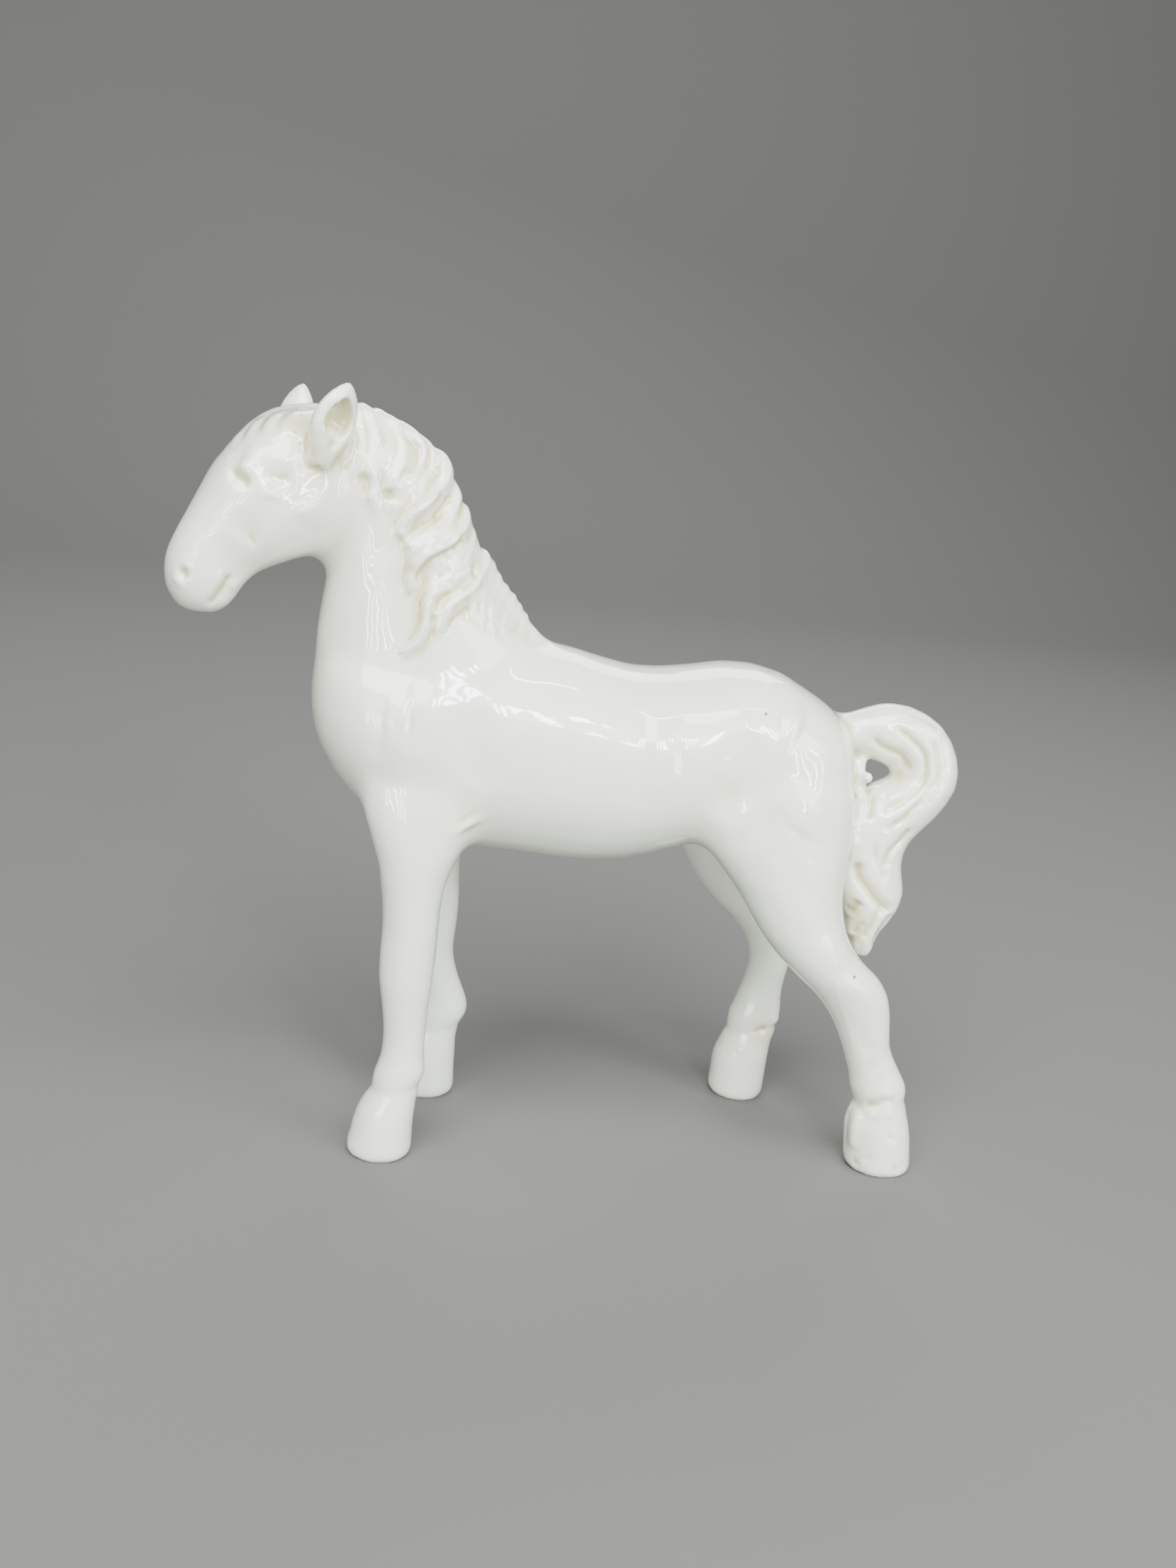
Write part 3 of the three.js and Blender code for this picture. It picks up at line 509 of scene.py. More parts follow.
# Mane: each lock has its places on the neck, its width and its height
mane = {
    "heightShare": 1.15,  # height of a lock's section to its width
    "thin": 0.34,  # share of the lock over which it grows out of the crest
    "tip": 0.28,
    "locks": [
        ([(-24.6, -3.4, 71.6), (-24.2, -3.9, 70.6), (-24.1, -4.6, 69.7), (-24.4, -5.0, 68.8), (-24.6, -5.4, 67.9),
          (-24.7, -5.6, 67.1)], 1.2, 0.4),
        ([(-24.1, -1.4, 72.4), (-23.5, -2.6, 71.8), (-23.1, -3.8, 70.8), (-22.9, -4.3, 70.1), (-23.0, -4.8, 69.2),
          (-23.3, -5.2, 68.1), (-23.6, -5.4, 67.2), (-23.9, -5.5, 66.4)], 1.25, 0.55),
        ([(-23.6, -0.6, 72.5), (-22.6, -2.1, 72.0), (-21.9, -3.1, 71.0), (-21.6, -4.0, 70.0), (-21.6, -4.5, 69.1),
          (-22.1, -5.0, 68.2), (-22.4, -5.2, 67.3), (-22.4, -5.5, 66.3), (-22.2, -5.8, 65.2), (-21.9, -5.8, 64.1),
          (-21.8, -5.4, 63.4)], 1.3, 0.8),
        ([(-22.2, -0.3, 72.3), (-21.3, -1.8, 71.8), (-20.6, -3.1, 70.9), (-20.3, -4.1, 69.9), (-20.3, -4.6, 69.2),
          (-20.7, -5.2, 68.2), (-21.0, -5.5, 67.4), (-21.1, -5.8, 66.9)], 1.2, 0.65),
        ([(-21.3, -1.2, 72.1), (-20.3, -2.0, 71.6), (-19.6, -2.9, 70.9), (-19.1, -3.4, 69.9), (-19.1, -4.1, 68.9),
          (-19.4, -4.8, 67.8), (-20.0, -5.3, 66.9), (-20.4, -5.7, 66.1), (-20.2, -5.6, 65.3), (-20.0, -5.5, 64.5),
          (-20.0, -5.4, 63.7)], 1.5, 0.95),
        ([(-19.9, -1.2, 71.7), (-19.0, -1.5, 71.1), (-18.2, -1.5, 70.3), (-17.7, -1.9, 69.4), (-17.6, -2.6, 68.8),
          (-17.8, -3.5, 68.0), (-18.2, -4.3, 67.0), (-18.8, -4.9, 66.2), (-19.2, -5.2, 65.4), (-19.4, -5.4, 64.7),
          (-19.2, -5.5, 64.1)], 1.5, 0.95),
        ([(-18.4, -1.0, 70.6), (-17.3, -0.9, 69.6), (-16.8, -1.5, 68.9), (-16.6, -2.4, 68.2), (-16.9, -3.5, 67.3),
          (-17.4, -4.4, 66.3), (-18.0, -4.8, 65.7), (-18.4, -5.1, 65.1), (-18.9, -5.3, 64.0)], 1.4, 0.95),
        ([(-17.2, -0.8, 69.7), (-16.4, -1.3, 68.8), (-16.0, -2.2, 68.0), (-16.0, -3.2, 67.1), (-16.4, -4.1, 66.3),
          (-17.1, -4.8, 65.5), (-17.8, -5.2, 64.9), (-18.6, -5.4, 63.9)], 1.1, 0.8),
        ([(-16.3, -0.9, 68.9), (-15.7, -1.7, 68.0), (-15.4, -2.6, 67.2), (-15.6, -3.6, 66.3), (-16.2, -4.5, 65.4),
          (-16.8, -5.2, 64.6), (-17.6, -5.6, 64.0), (-18.3, -5.8, 63.4), (-19.0, -6.0, 62.7),
          (-19.5, -6.0, 62.0)], 1.9, 1.75),
        ([(-15.2, -1.2, 66.8), (-14.5, -1.8, 65.9), (-14.1, -2.1, 65.1), (-14.3, -3.0, 64.3), (-14.5, -3.7, 63.4),
          (-15.2, -4.7, 62.6), (-16.1, -5.4, 62.0), (-17.1, -5.9, 61.6), (-17.8, -6.1, 61.1), (-18.1, -6.2, 60.4),
          (-18.2, -6.1, 59.6)], 1.7, 1.3),
        ([(-13.3, -1.3, 64.2), (-13.2, -2.3, 63.3), (-13.5, -3.5, 62.4), (-14.2, -4.4, 61.7), (-15.0, -5.1, 61.1),
          (-16.0, -5.5, 60.7), (-16.9, -5.9, 60.2), (-17.4, -5.9, 59.5), (-17.8, -5.9, 58.6), (-18.0, -6.2, 57.5),
          (-18.2, -6.4, 56.7)], 1.6, 1.65),
        ([(-13.0, -1.2, 63.4), (-12.5, -2.2, 62.5), (-12.4, -3.3, 61.6), (-12.7, -4.2, 60.8), (-13.5, -5.0, 60.3),
          (-14.5, -5.5, 59.9), (-15.3, -5.9, 59.4), (-16.1, -6.2, 58.9), (-16.5, -6.4, 58.2)], 1.05, 1.15),
        ([(-12.3, -1.4, 62.2), (-12.1, -3.0, 61.4), (-12.2, -4.0, 60.5), (-12.8, -4.9, 59.7), (-13.8, -5.7, 59.2),
          (-14.7, -6.2, 58.7), (-15.4, -6.5, 58.1), (-16.0, -6.7, 57.5), (-16.6, -6.9, 57.1)], 1.05, 1.2),
        ([(-11.8, -1.2, 61.6), (-11.4, -2.6, 60.7), (-11.7, -4.0, 59.7), (-12.6, -5.0, 58.9), (-13.6, -5.9, 58.3),
          (-14.5, -6.4, 57.9), (-15.4, -6.7, 57.3), (-16.0, -6.9, 56.6), (-16.3, -7.1, 55.8), (-16.3, -6.9, 55.0),
          (-16.4, -6.6, 54.1), (-16.6, -6.5, 53.2), (-16.9, -6.5, 52.4), (-17.6, -6.6, 51.6),
          (-18.6, -6.5, 51.1)], 1.0, 1.15),
        ([(-11.0, -0.9, 60.2), (-10.7, -2.2, 59.4), (-11.2, -3.7, 58.5), (-11.8, -4.7, 57.7), (-12.5, -5.5, 57.0),
          (-13.3, -6.1, 56.4), (-14.1, -6.4, 55.8), (-14.7, -6.6, 55.0), (-15.0, -6.7, 54.1),
          (-15.0, -6.9, 53.3)], 1.4, 1.2),
        ([(-10.2, -0.8, 59.3), (-10.1, -2.2, 58.5), (-10.6, -3.9, 57.4), (-11.2, -5.0, 56.5), (-11.6, -5.7, 55.7),
          (-11.7, -6.3, 54.8)], 1.1, 0.95),
        ([(-9.4, -0.9, 58.3), (-9.3, -2.5, 57.5), (-9.9, -4.2, 56.6), (-10.4, -5.2, 55.8), (-10.6, -6.0, 55.0),
          (-10.5, -6.3, 54.2)], 1.05, 0.85),
        ([(-8.5, -0.9, 57.3), (-8.5, -2.4, 56.9), (-9.0, -4.0, 56.1), (-9.3, -4.9, 55.3), (-9.4, -5.6, 54.4),
          (-9.3, -5.8, 53.6)], 1.05, 0.75),
        ([(-7.6, -0.8, 56.5), (-7.6, -2.2, 56.2), (-8.1, -3.4, 55.4), (-8.3, -4.2, 54.6),
          (-8.4, -4.9, 53.7)], 1.0, 0.6),
        ([(-6.8, -0.6, 55.6), (-6.9, -2.0, 55.3), (-7.4, -3.0, 54.7), (-7.7, -3.8, 54.1),
          (-7.7, -4.4, 53.4)], 0.9, 0.45),
        ([(-6.0, -0.5, 54.8), (-6.1, -1.8, 54.5), (-6.6, -2.8, 53.9), (-6.8, -3.4, 53.3)], 0.9, 0.35),
    ],
    # tool marks: places, half width, depth (negative is raised), fade at the ends
    "marks": [
        ([(-22.7, -1.9, 72.1), (-21.9, -2.5, 71.6), (-21.4, -3.0, 71.0), (-20.9, -3.8, 70.2), (-20.9, -4.2, 69.8),
          (-21.2, -4.7, 69.1), (-21.6, -5.0, 68.4), (-21.9, -5.2, 67.8), (-22.1, -5.4, 67.1),
          (-21.9, -5.7, 66.4)], 0.24, 0.22, 0.2),
        ([(-20.0, -2.2, 71.5), (-19.6, -2.6, 71.2), (-19.1, -2.8, 70.7), (-18.7, -2.8, 70.2), (-18.3, -2.7, 69.6),
          (-18.2, -3.0, 69.0), (-18.3, -3.6, 68.4), (-18.6, -4.1, 67.9), (-18.9, -4.6, 67.4), (-19.2, -4.9, 66.7),
          (-19.7, -5.3, 66.3)], 0.26, 0.3, 0.2),
        ([(-17.6, -1.1, 69.9), (-17.3, -1.3, 69.4), (-17.1, -2.2, 68.7), (-17.1, -2.8, 68.2),
          (-17.3, -3.5, 67.6)], 0.22, 0.25, 0.2),
        ([(-16.8, -1.2, 69.1), (-16.4, -1.5, 68.6), (-16.3, -2.4, 68.0), (-16.4, -3.4, 67.1)], 0.2, 0.2, 0.2),
        ([(-15.0, -3.1, 66.0), (-15.2, -3.8, 65.4), (-15.5, -4.3, 64.9), (-16.1, -5.0, 64.3), (-16.6, -5.4, 63.8),
          (-17.1, -5.7, 63.2), (-17.8, -6.1, 62.4), (-18.5, -6.2, 61.7)], 0.6, 0.7, 0.25),
        ([(-13.9, -1.7, 65.0), (-13.7, -1.8, 64.5), (-13.8, -2.6, 63.9), (-14.0, -3.2, 63.3)], 0.22, 0.25, 0.2),
        ([(-23.8, -5.5, 66.8), (-23.3, -5.4, 65.7), (-22.8, -5.4, 64.8)], 0.6, 0.5, 0.3),
        ([(-21.4, -5.9, 65.9), (-20.8, -5.8, 65.0), (-20.3, -5.6, 64.2)], 0.6, 0.6, 0.3),
        ([(-24.3, -5.1, 68.4), (-24.4, -5.6, 67.5), (-24.4, -5.6, 66.5)], 0.4, 0.2, 0.3),
        ([(-13.2, -3.5, 62.0), (-13.5, -4.2, 61.4), (-14.4, -4.9, 60.8), (-15.4, -5.5, 60.1), (-16.4, -5.9, 59.5),
          (-17.0, -6.0, 58.8), (-17.2, -6.2, 58.0), (-17.5, -6.4, 57.2)], 0.36, 0.6, 0.15),
        ([(-14.4, -5.8, 59.4), (-15.3, -6.2, 58.9), (-16.0, -6.5, 58.3)], 0.22, 0.35, 0.2),
        ([(-13.6, -6.0, 57.8), (-14.7, -6.6, 57.5), (-15.4, -6.8, 57.2)], 0.28, 0.4, 0.2),
        ([(-15.6, -6.9, 56.8), (-15.7, -7.0, 55.7), (-15.7, -6.7, 54.6), (-15.5, -6.5, 53.6)], 0.4, 0.3, 0.25),
        ([(-11.8, -5.4, 56.4), (-12.5, -5.9, 56.0), (-13.4, -6.3, 55.3), (-13.9, -6.6, 54.7)], 0.34, 0.4, 0.25),
        ([(-11.5, -3.5, 59.9), (-11.9, -4.4, 59.1), (-11.8, -4.5, 58.2)], 0.3, 0.3, 0.25),
        ([(-10.8, -5.0, 56.4), (-11.0, -5.7, 55.6), (-11.1, -6.2, 55.0)], 0.24, 0.25, 0.25),
        ([(-9.9, -4.6, 56.4), (-9.9, -5.4, 55.4), (-9.9, -6.0, 54.4)], 0.24, 0.25, 0.25),
        ([(-8.9, -4.4, 55.8), (-8.8, -4.8, 54.8), (-8.8, -5.1, 54.1)], 0.24, 0.2, 0.25),
        ([(-14.3, -3.9, 62.6), (-15.2, -4.8, 62.0), (-15.8, -5.3, 61.6), (-16.7, -5.8, 61.3), (-17.4, -6.0, 60.9),
          (-17.9, -6.1, 60.2)], 0.2, -0.16, 0.2),
        ([(-16.2, -4.1, 66.1), (-16.4, -4.7, 65.4), (-17.2, -5.3, 64.6), (-18.0, -5.6, 64.0), (-18.7, -5.8, 63.3),
          (-19.3, -5.9, 62.4)], 0.2, -0.2, 0.2),
        ([(-15.9, -4.1, 65.9), (-16.2, -4.7, 65.0), (-16.7, -5.3, 64.3)], 0.2, -0.16, 0.2),
        ([(-13.8, -3.6, 62.4), (-14.3, -4.5, 61.7), (-14.9, -5.0, 61.2), (-15.7, -5.4, 60.9), (-16.7, -5.8, 60.4),
          (-17.4, -6.0, 60.0)], 0.2, -0.2, 0.2),
        ([(-11.4, -4.0, 58.4), (-11.5, -4.4, 57.9), (-12.2, -5.1, 57.4), (-12.8, -5.6, 57.0),
          (-13.3, -6.1, 56.6)], 0.2, -0.16, 0.2),
        ([(-19.7, -5.8, 61.9), (-19.3, -6.3, 61.2), (-18.8, -6.2, 60.5)], 0.4, -0.3, 0.3),
        ([(-19.1, -6.2, 59.6), (-18.9, -6.4, 58.0)], 0.4, 0.2, 0.3),
    ],
    "combMarks": 0.11,  # depth of the fine lines beside each lock's ridge
    "combHalf": 0.16,
    "combPlaces": (-0.22, 0.2),  # across the lock, as a share of its width
}


def onBed(path):
    # the foot of a path on the bed of the mane, and the way out of the neck there
    feet, ups = [], []
    for place in path:
        hit, normal, index, distance = bedTree.find_nearest(Vector(place))
        feet.append(hit)
        ups.append(normal)
    feet, ups = np.array(feet), np.array(ups)
    for turn in range(3):
        feet[1:-1] = (feet[:-2] + feet[1:-1] + feet[2:]) / 3
        ups[1:-1] = (ups[:-2] + ups[1:-1] + ups[2:]) / 3
    return feet, ups / np.linalg.norm(ups, axis=1)[:, None]


def lockPath(places, width, height):
    lead = np.array(places[0]) + ((np.array(places[0]) - places[1]) * (1, 0, 1) * 0.3 + (0, 2.2, 0.2))
    feet, ups = onBed(curvePoints([lead] + places))
    along = np.linspace(0, 1, len(feet))
    full = smoothStep(along, -0.05, mane["thin"]) * np.maximum(np.minimum(1, (1 - along) / mane["tip"]), 0.03) ** 0.65
    half = width / 2 * (0.5 + 0.5 * full)
    rise = height * (0.12 + 0.88 * full)
    return feet + ups * (rise - mane["heightShare"] * half)[:, None], ups, half


lockSolids = strandsAlong("mane_locks", [lockPath(*lock) for lock in mane["locks"]], mane["heightShare"])
report("%d locks" % len(mane["locks"]))

# Tail: strands laid over its core, hair marks in its side view
tail = {
    "strands": [
        # places, half width at the start and at the end
        ([(31.6, -4.4, 37.0), (32.9, -4.4, 34.2), (33.8, -4.2, 31.6), (33.7, -4.6, 29.4),
          (32.9, -4.8, 28.2)], 1.3, 0.9),
        ([(29.2, -4.9, 33.6), (29.8, -5.2, 31.3), (30.9, -5.5, 29.6), (31.6, -5.6, 28.4), (31.5, -5.3, 27.2),
          (30.8, -4.8, 26.2), (30.9, -4.4, 24.8)], 0.8, 0.75),
        ([(32.6, -4.4, 27.2), (32.1, -4.6, 25.4), (31.8, -4.6, 23.9), (32.1, -4.4, 22.6)], 0.9, 0.75),
        ([(30.6, -3.6, 27.2), (30.9, -3.4, 25.4), (31.6, -3.4, 23.6)], 1.0, 0.8),
        ([(29.7, -1.4, 43.4), (29.5, -2.0, 41.6), (29.4, -2.6, 39.6)], 0.75, 0.75),
    ],
    "pebbles": [((30.0, -2.3, 40.9), (0.6, 0.7, 0.75)), ((30.2, -3.3, 41.3), (0.5, 0.6, 0.6)),
                ((30.6, -5.6, 28.0), (0.4, 0.5, 0.35))],
    "marks": [
        # x and z, half width, depth
        ([(29.6, 45.6), (30.4, 45.3), (31.0, 44.7), (32.1, 44.3), (33.1, 44.0), (33.9, 43.1),
          (34.4, 42.2)], 0.42, 0.5),
        ([(32.0, 46.8), (33.0, 46.4), (33.9, 45.8), (34.8, 45.1), (35.4, 44.3), (35.6, 43.5), (35.7, 42.3),
          (35.2, 41.3), (34.3, 40.4), (33.8, 39.9), (32.9, 39.3), (32.1, 38.7), (31.2, 38.3)], 0.36, 0.5),
        ([(35.6, 46.4), (36.5, 45.4), (36.8, 44.2), (36.9, 42.8), (36.7, 41.7), (35.9, 40.6), (35.3, 39.7),
          (34.5, 38.8), (33.8, 37.9), (32.7, 37.1), (31.7, 36.5)], 0.34, 0.42),
        ([(37.2, 46.2), (37.6, 44.8), (37.8, 43.7), (37.7, 42.6), (37.4, 41.4), (36.5, 40.1),
          (35.6, 38.9)], 0.26, 0.22),
        ([(33.6, 48.3), (35.6, 47.8), (37.2, 46.9)], 0.3, 0.2),
        ([(31.0, 40.8), (30.6, 39.7), (30.3, 38.6), (30.2, 37.4)], 0.36, 0.55),  # pit below the opening
        ([(31.6, 40.0), (31.9, 39.2), (31.6, 38.5)], 0.3, 0.3),
        ([(34.9, 36.9), (34.7, 36.5), (33.9, 35.3), (33.1, 34.5), (32.7, 33.7), (32.8, 32.6)], 0.34, 0.4),
        ([(31.0, 35.4), (31.4, 33.7), (32.2, 32.5), (33.0, 31.3)], 0.34, 0.2),
        ([(29.5, 33.2), (29.9, 31.6), (30.6, 30.7), (31.5, 29.8), (32.4, 29.0), (33.5, 28.2),
          (34.3, 27.7)], 0.5, 0.85),
        ([(32.9, 28.2), (32.5, 27.3), (32.2, 26.3), (31.8, 25.5), (31.6, 24.5)], 0.3, 0.45),
        ([(30.4, 28.9), (30.0, 27.9), (29.8, 27.0)], 0.6, 0.5),
        ([(31.4, 26.6), (30.9, 25.7), (30.7, 24.9)], 0.25, 0.25),
        ([(34.6, 27.6), (33.8, 26.4), (33.4, 25.0), (33.3, 23.6)], 0.5, 0.35),
    ],
    "reach": 1.3,  # how far from the tail's core a mark still bites
    # centre, radius, steps: the dock from three sides, and the end of the crest at the withers
    "melted": [((28.4, -0.8, 48.6), 3.4, 90), ((28.9, -3.0, 45.6), 2.0, 40), ((28.4, 1.6, 46.4), 2.6, 60),
               ((-2.9, -0.6, 52.4), 2.4, 60)],
}
tailRods = [freeRod(*strand) for strand in tail["strands"]]
extras = [strandsAlong("tail_strands", tailRods, 1.0)] + [pebble(*stone) for stone in tail["pebbles"]]

ears = {
    "nodes": ["left_ear", "left_ear_slip", "right_ear", "right_ear_slip"],
    "cup": ((-26.55, -5.75, 69.95), (0.85, 0.95, 0.75)),  # centre and radii of the slip at its bottom, near ear
    "farWidth": 0.8,  # the far ear is narrower than the near one
    "farEdge": (-27.8, 3.0, 69.4),  # x of its back edge, and from where on in y and z
    "melted": [((-26.8, -6.3, 70.6), 0.9, 14)],  # centre, radius, steps
}
extras.append(pebble(*ears["cup"]))
skin = filleted(*joined(bedding, tailCore, readNodes(ears["nodes"]), lockSolids, *extras), fine, 0.3)
points, faces = biggestIsland(*skin)
edges = edgesOf(faces)
points = relaxed(points, edges, 3)
report("skin %d quads" % len(faces))

# Barrel and limbs: broad forms pressed into both sides
barrel = {
    # places on the near side, half width, depth (negative is raised)
    "marks": [
        ([(13.0, -9.5, 37.5), (14.0, -9.5, 41.5), (15.6, -9.2, 44.8),
          (18.4, -8.6, 47.0)], 2.3, 0.5),  # hollow of the flank
        ([(5.0, -9.0, 43.5), (9.0, -9.0, 44.0)], 4.2, -0.25),
        ([(18.6, -8.0, 47.9), (20.6, -7.6, 46.6)], 2.0, -0.4),  # point of the hip
        ([(20.0, -10.3, 37.5), (22.4, -10.2, 41.5)], 3.2, -0.25),
        ([(-8.4, -8.4, 38.6), (-10.8, -9.0, 41.5), (-12.0, -9.0, 45.5),
          (-10.5, -8.6, 49.0)], 2.1, 0.45),  # behind the shoulder
        ([(-19.8, -7.2, 44.6), (-17.0, -8.6, 44.6)], 3.0, -0.35),
        ([(-11.0, -9.2, 35.8), (-10.4, -9.0, 34.6)], 1.4, -0.3),  # elbow
        ([(-20.5, -6.5, 39.4), (-16.0, -9.2, 38.6), (-12.8, -9.4, 37.6)], 1.7, 0.22),
        ([(25.6, -10.6, 27.0), (28.4, -10.8, 23.0)], 1.6, -0.2),
        ([(30.6, -10.6, 19.6), (31.6, -10.4, 16.0), (33.4, -10.2, 12.6)], 0.8, 0.14),  # in front of the tendon
    ],
    "vent": (1.16, 0.0),  # x and y of the drying hole
    "ventRim": (0.85, 1.25),  # from its flat bottom to the rim
    "ventDepth": 1.5,
}
normals = normalsOf(points, faces)
for path, halfWidth, depth in barrel["marks"]:
    press(points, normals, path, halfWidth, depth, 0.35)
    press(points, normals, [(x, -y, z) for x, y, z in path], halfWidth, depth, 0.35)

# Face: it is turned about an upright line through the neck
face = {
    "turn": math.radians(18),
    "axis": -24.9,
    # places on the near side, half width, depth (negative is raised), fade at both ends
    "marks": [
        ([(-34.4, -6.3, 66.5), (-33.7, -6.6, 66.5), (-33.0, -6.9, 66.4),
          (-32.4, -7.0, 66.3)], 0.7, -0.36, 0.35),  # lid
        ([(-35.0, -5.9, 65.9), (-34.4, -6.6, 65.6), (-33.8, -7.0, 65.3), (-33.2, -7.2, 65.1),
          (-32.6, -7.3, 65.1)], 0.55, 0.4, 0.3),
        ([(-35.1, -5.6, 66.2), (-34.6, -6.2, 66.0), (-34.2, -6.6, 65.85), (-33.8, -6.9, 65.6), (-33.4, -7.1, 65.45),
          (-32.9, -7.2, 65.4)], 0.26, 0.26, 0.25),
        ([(-33.8, -5.7, 67.6), (-32.8, -6.0, 68.0), (-32.1, -6.3, 67.9),
          (-31.6, -6.7, 67.3)], 0.9, -0.22, 0.35),  # brow
        ([(-35.4, -5.0, 66.9), (-34.4, -5.6, 67.2), (-33.4, -6.2, 67.2)], 0.45, 0.14, 0.3),
        ([(-31.2, -6.6, 67.5), (-30.3, -6.5, 67.5), (-29.4, -6.4, 67.5), (-28.3, -6.0, 67.4)], 1.0, -0.2, 0.4),
        ([(-32.3, -6.9, 66.4), (-31.6, -7.1, 66.2), (-30.8, -7.0, 66.0), (-30.0, -6.9, 65.95),
          (-29.0, -6.6, 65.9)], 0.75, 0.34, 0.4),
        ([(-31.6, -7.3, 64.9), (-31.2, -7.4, 64.4), (-31.4, -7.4, 63.8)], 0.8, -0.22, 0.4),  # cheekbone
        ([(-33.9, -7.1, 60.0), (-33.2, -7.2, 60.7), (-32.3, -7.3, 61.1), (-31.4, -7.2, 61.0)], 2.4, 0.32, 0.45),
        ([(-28.4, -6.4, 64.3), (-27.8, -6.1, 63.2), (-28.4, -6.0, 62.0)], 1.9, -0.22, 0.4),
        ([(-38.55, -7.05, 57.2), (-38.35, -7.25, 56.75), (-38.15, -7.3, 56.3)], 0.4, 0.55, 0.2),  # nostril
        ([(-39.2, -6.7, 56.5), (-38.8, -6.9, 55.9), (-38.2, -7.2, 55.7)], 0.4, -0.16, 0.3),
        ([(-36.8, -7.2, 59.3), (-37.0, -7.3, 58.4)], 1.0, -0.1, 0.45),
        ([(-34.25, -6.5, 57.0), (-34.5, -6.5, 56.3), (-34.75, -6.6, 55.8), (-35.1, -6.6, 55.2), (-35.5, -6.6, 54.6),
          (-36.0, -6.2, 53.9)], 0.28, 0.55, 0.15),
        ([(-34.3, -6.4, 56.2), (-34.8, -6.5, 55.4), (-35.4, -6.4, 54.5)], 0.6, 0.2, 0.3),
        ([(-35.8, -7.1, 57.0), (-35.3, -6.9, 56.6), (-35.0, -6.8, 57.0)], 0.7, -0.14, 0.4),  # corner of the lip
        ([(-33.9, -6.2, 56.7), (-33.9, -6.0, 55.8), (-34.2, -6.0, 55.0)], 0.6, -0.16, 0.4),
    ],
    "forelock": [
        ([(-34.0, -1.2, 69.6), (-34.6, -2.6, 68.6), (-34.7, -3.8, 67.8)], 0.5, -0.14, 0.4),
        ([(-32.2, -0.6, 70.8), (-33.0, -2.4, 70.0), (-33.4, -4.2, 68.9), (-33.3, -5.2, 68.2)], 0.55, -0.17, 0.4),
        ([(-30.8, -1.0, 71.4), (-31.5, -3.0, 70.6), (-31.9, -4.6, 69.6), (-31.9, -5.6, 68.7)], 0.55, -0.17, 0.4),
        ([(-29.4, -1.6, 71.7), (-30.0, -3.8, 70.9), (-30.4, -5.2, 69.8), (-30.6, -6.0, 68.8)], 0.5, -0.17, 0.4),
        ([(-33.1, -0.8, 70.3), (-33.9, -2.6, 69.4), (-34.1, -4.2, 68.3)], 0.34, 0.2, 0.4),
        ([(-31.5, -0.8, 71.1), (-32.3, -3.0, 70.2), (-32.7, -5.0, 68.9)], 0.34, 0.22, 0.4),
        ([(-30.1, -1.4, 71.6), (-30.8, -3.8, 70.7), (-31.2, -5.6, 69.2)], 0.34, 0.22, 0.4),
    ],
    # centre, radius, steps: around the eye, the forelock, the muzzle
    "melted": [((-32.6, -6.4, 66.6), 3.6, 3), ((-32.4, -2.6, 70.2), 4.4, 4), ((-36.6, -6.2, 57.0), 3.6, 2)],
}


def otherCheek(path):
    c, s = math.cos(face["turn"]), math.sin(face["turn"])
    out = []
    for x, y, z in path:
        lx, ly = (x - face["axis"]) * c + y * s, (x - face["axis"]) * s - y * c
        out.append((face["axis"] + lx * c - ly * s, lx * s + ly * c, z))
    return out


normals = normalsOf(points, faces)
for path, halfWidth, depth, fade in face["marks"]:
    press(points, normals, path, halfWidth, depth, fade)
    press(points, normals, otherCheek(path), halfWidth, depth, fade)
normals = normalsOf(points, faces)
for path, halfWidth, depth, fade in face["forelock"] + mane["marks"]:
    press(points, normals, path, halfWidth, depth, fade)

# the far ear is drawn in towards its back edge
edgeX, fromY, fromZ = ears["farEdge"]
share = smoothStep(points[:, 2], fromZ, fromZ + 1.2) * smoothStep(points[:, 1], fromY - 0.6, fromY)
share *= (points[:, 0] < edgeX) * (points[:, 0] > -33.5)
points[:, 0] += share * (1 - ears["farWidth"]) * (edgeX - points[:, 0])
for centre, radius, steps in face["melted"] + ears["melted"]:
    softened(points, edges, centre, radius, steps)

# fine lines beside the ridge of each lock, as a comb leaves them
for path, width, height in mane["locks"]:
    feet, ups = onBed(curvePoints(path, 0.3))
    aside = np.cross(ups, np.gradient(feet, axis=0))
    aside /= np.maximum(np.linalg.norm(aside, axis=1), 1e-9)[:, None]
    for offset in mane["combPlaces"]:
        line = feet + ups * height * 0.85 + aside * width * offset
        press(points, normals, line, mane["combHalf"], mane["combMarks"])

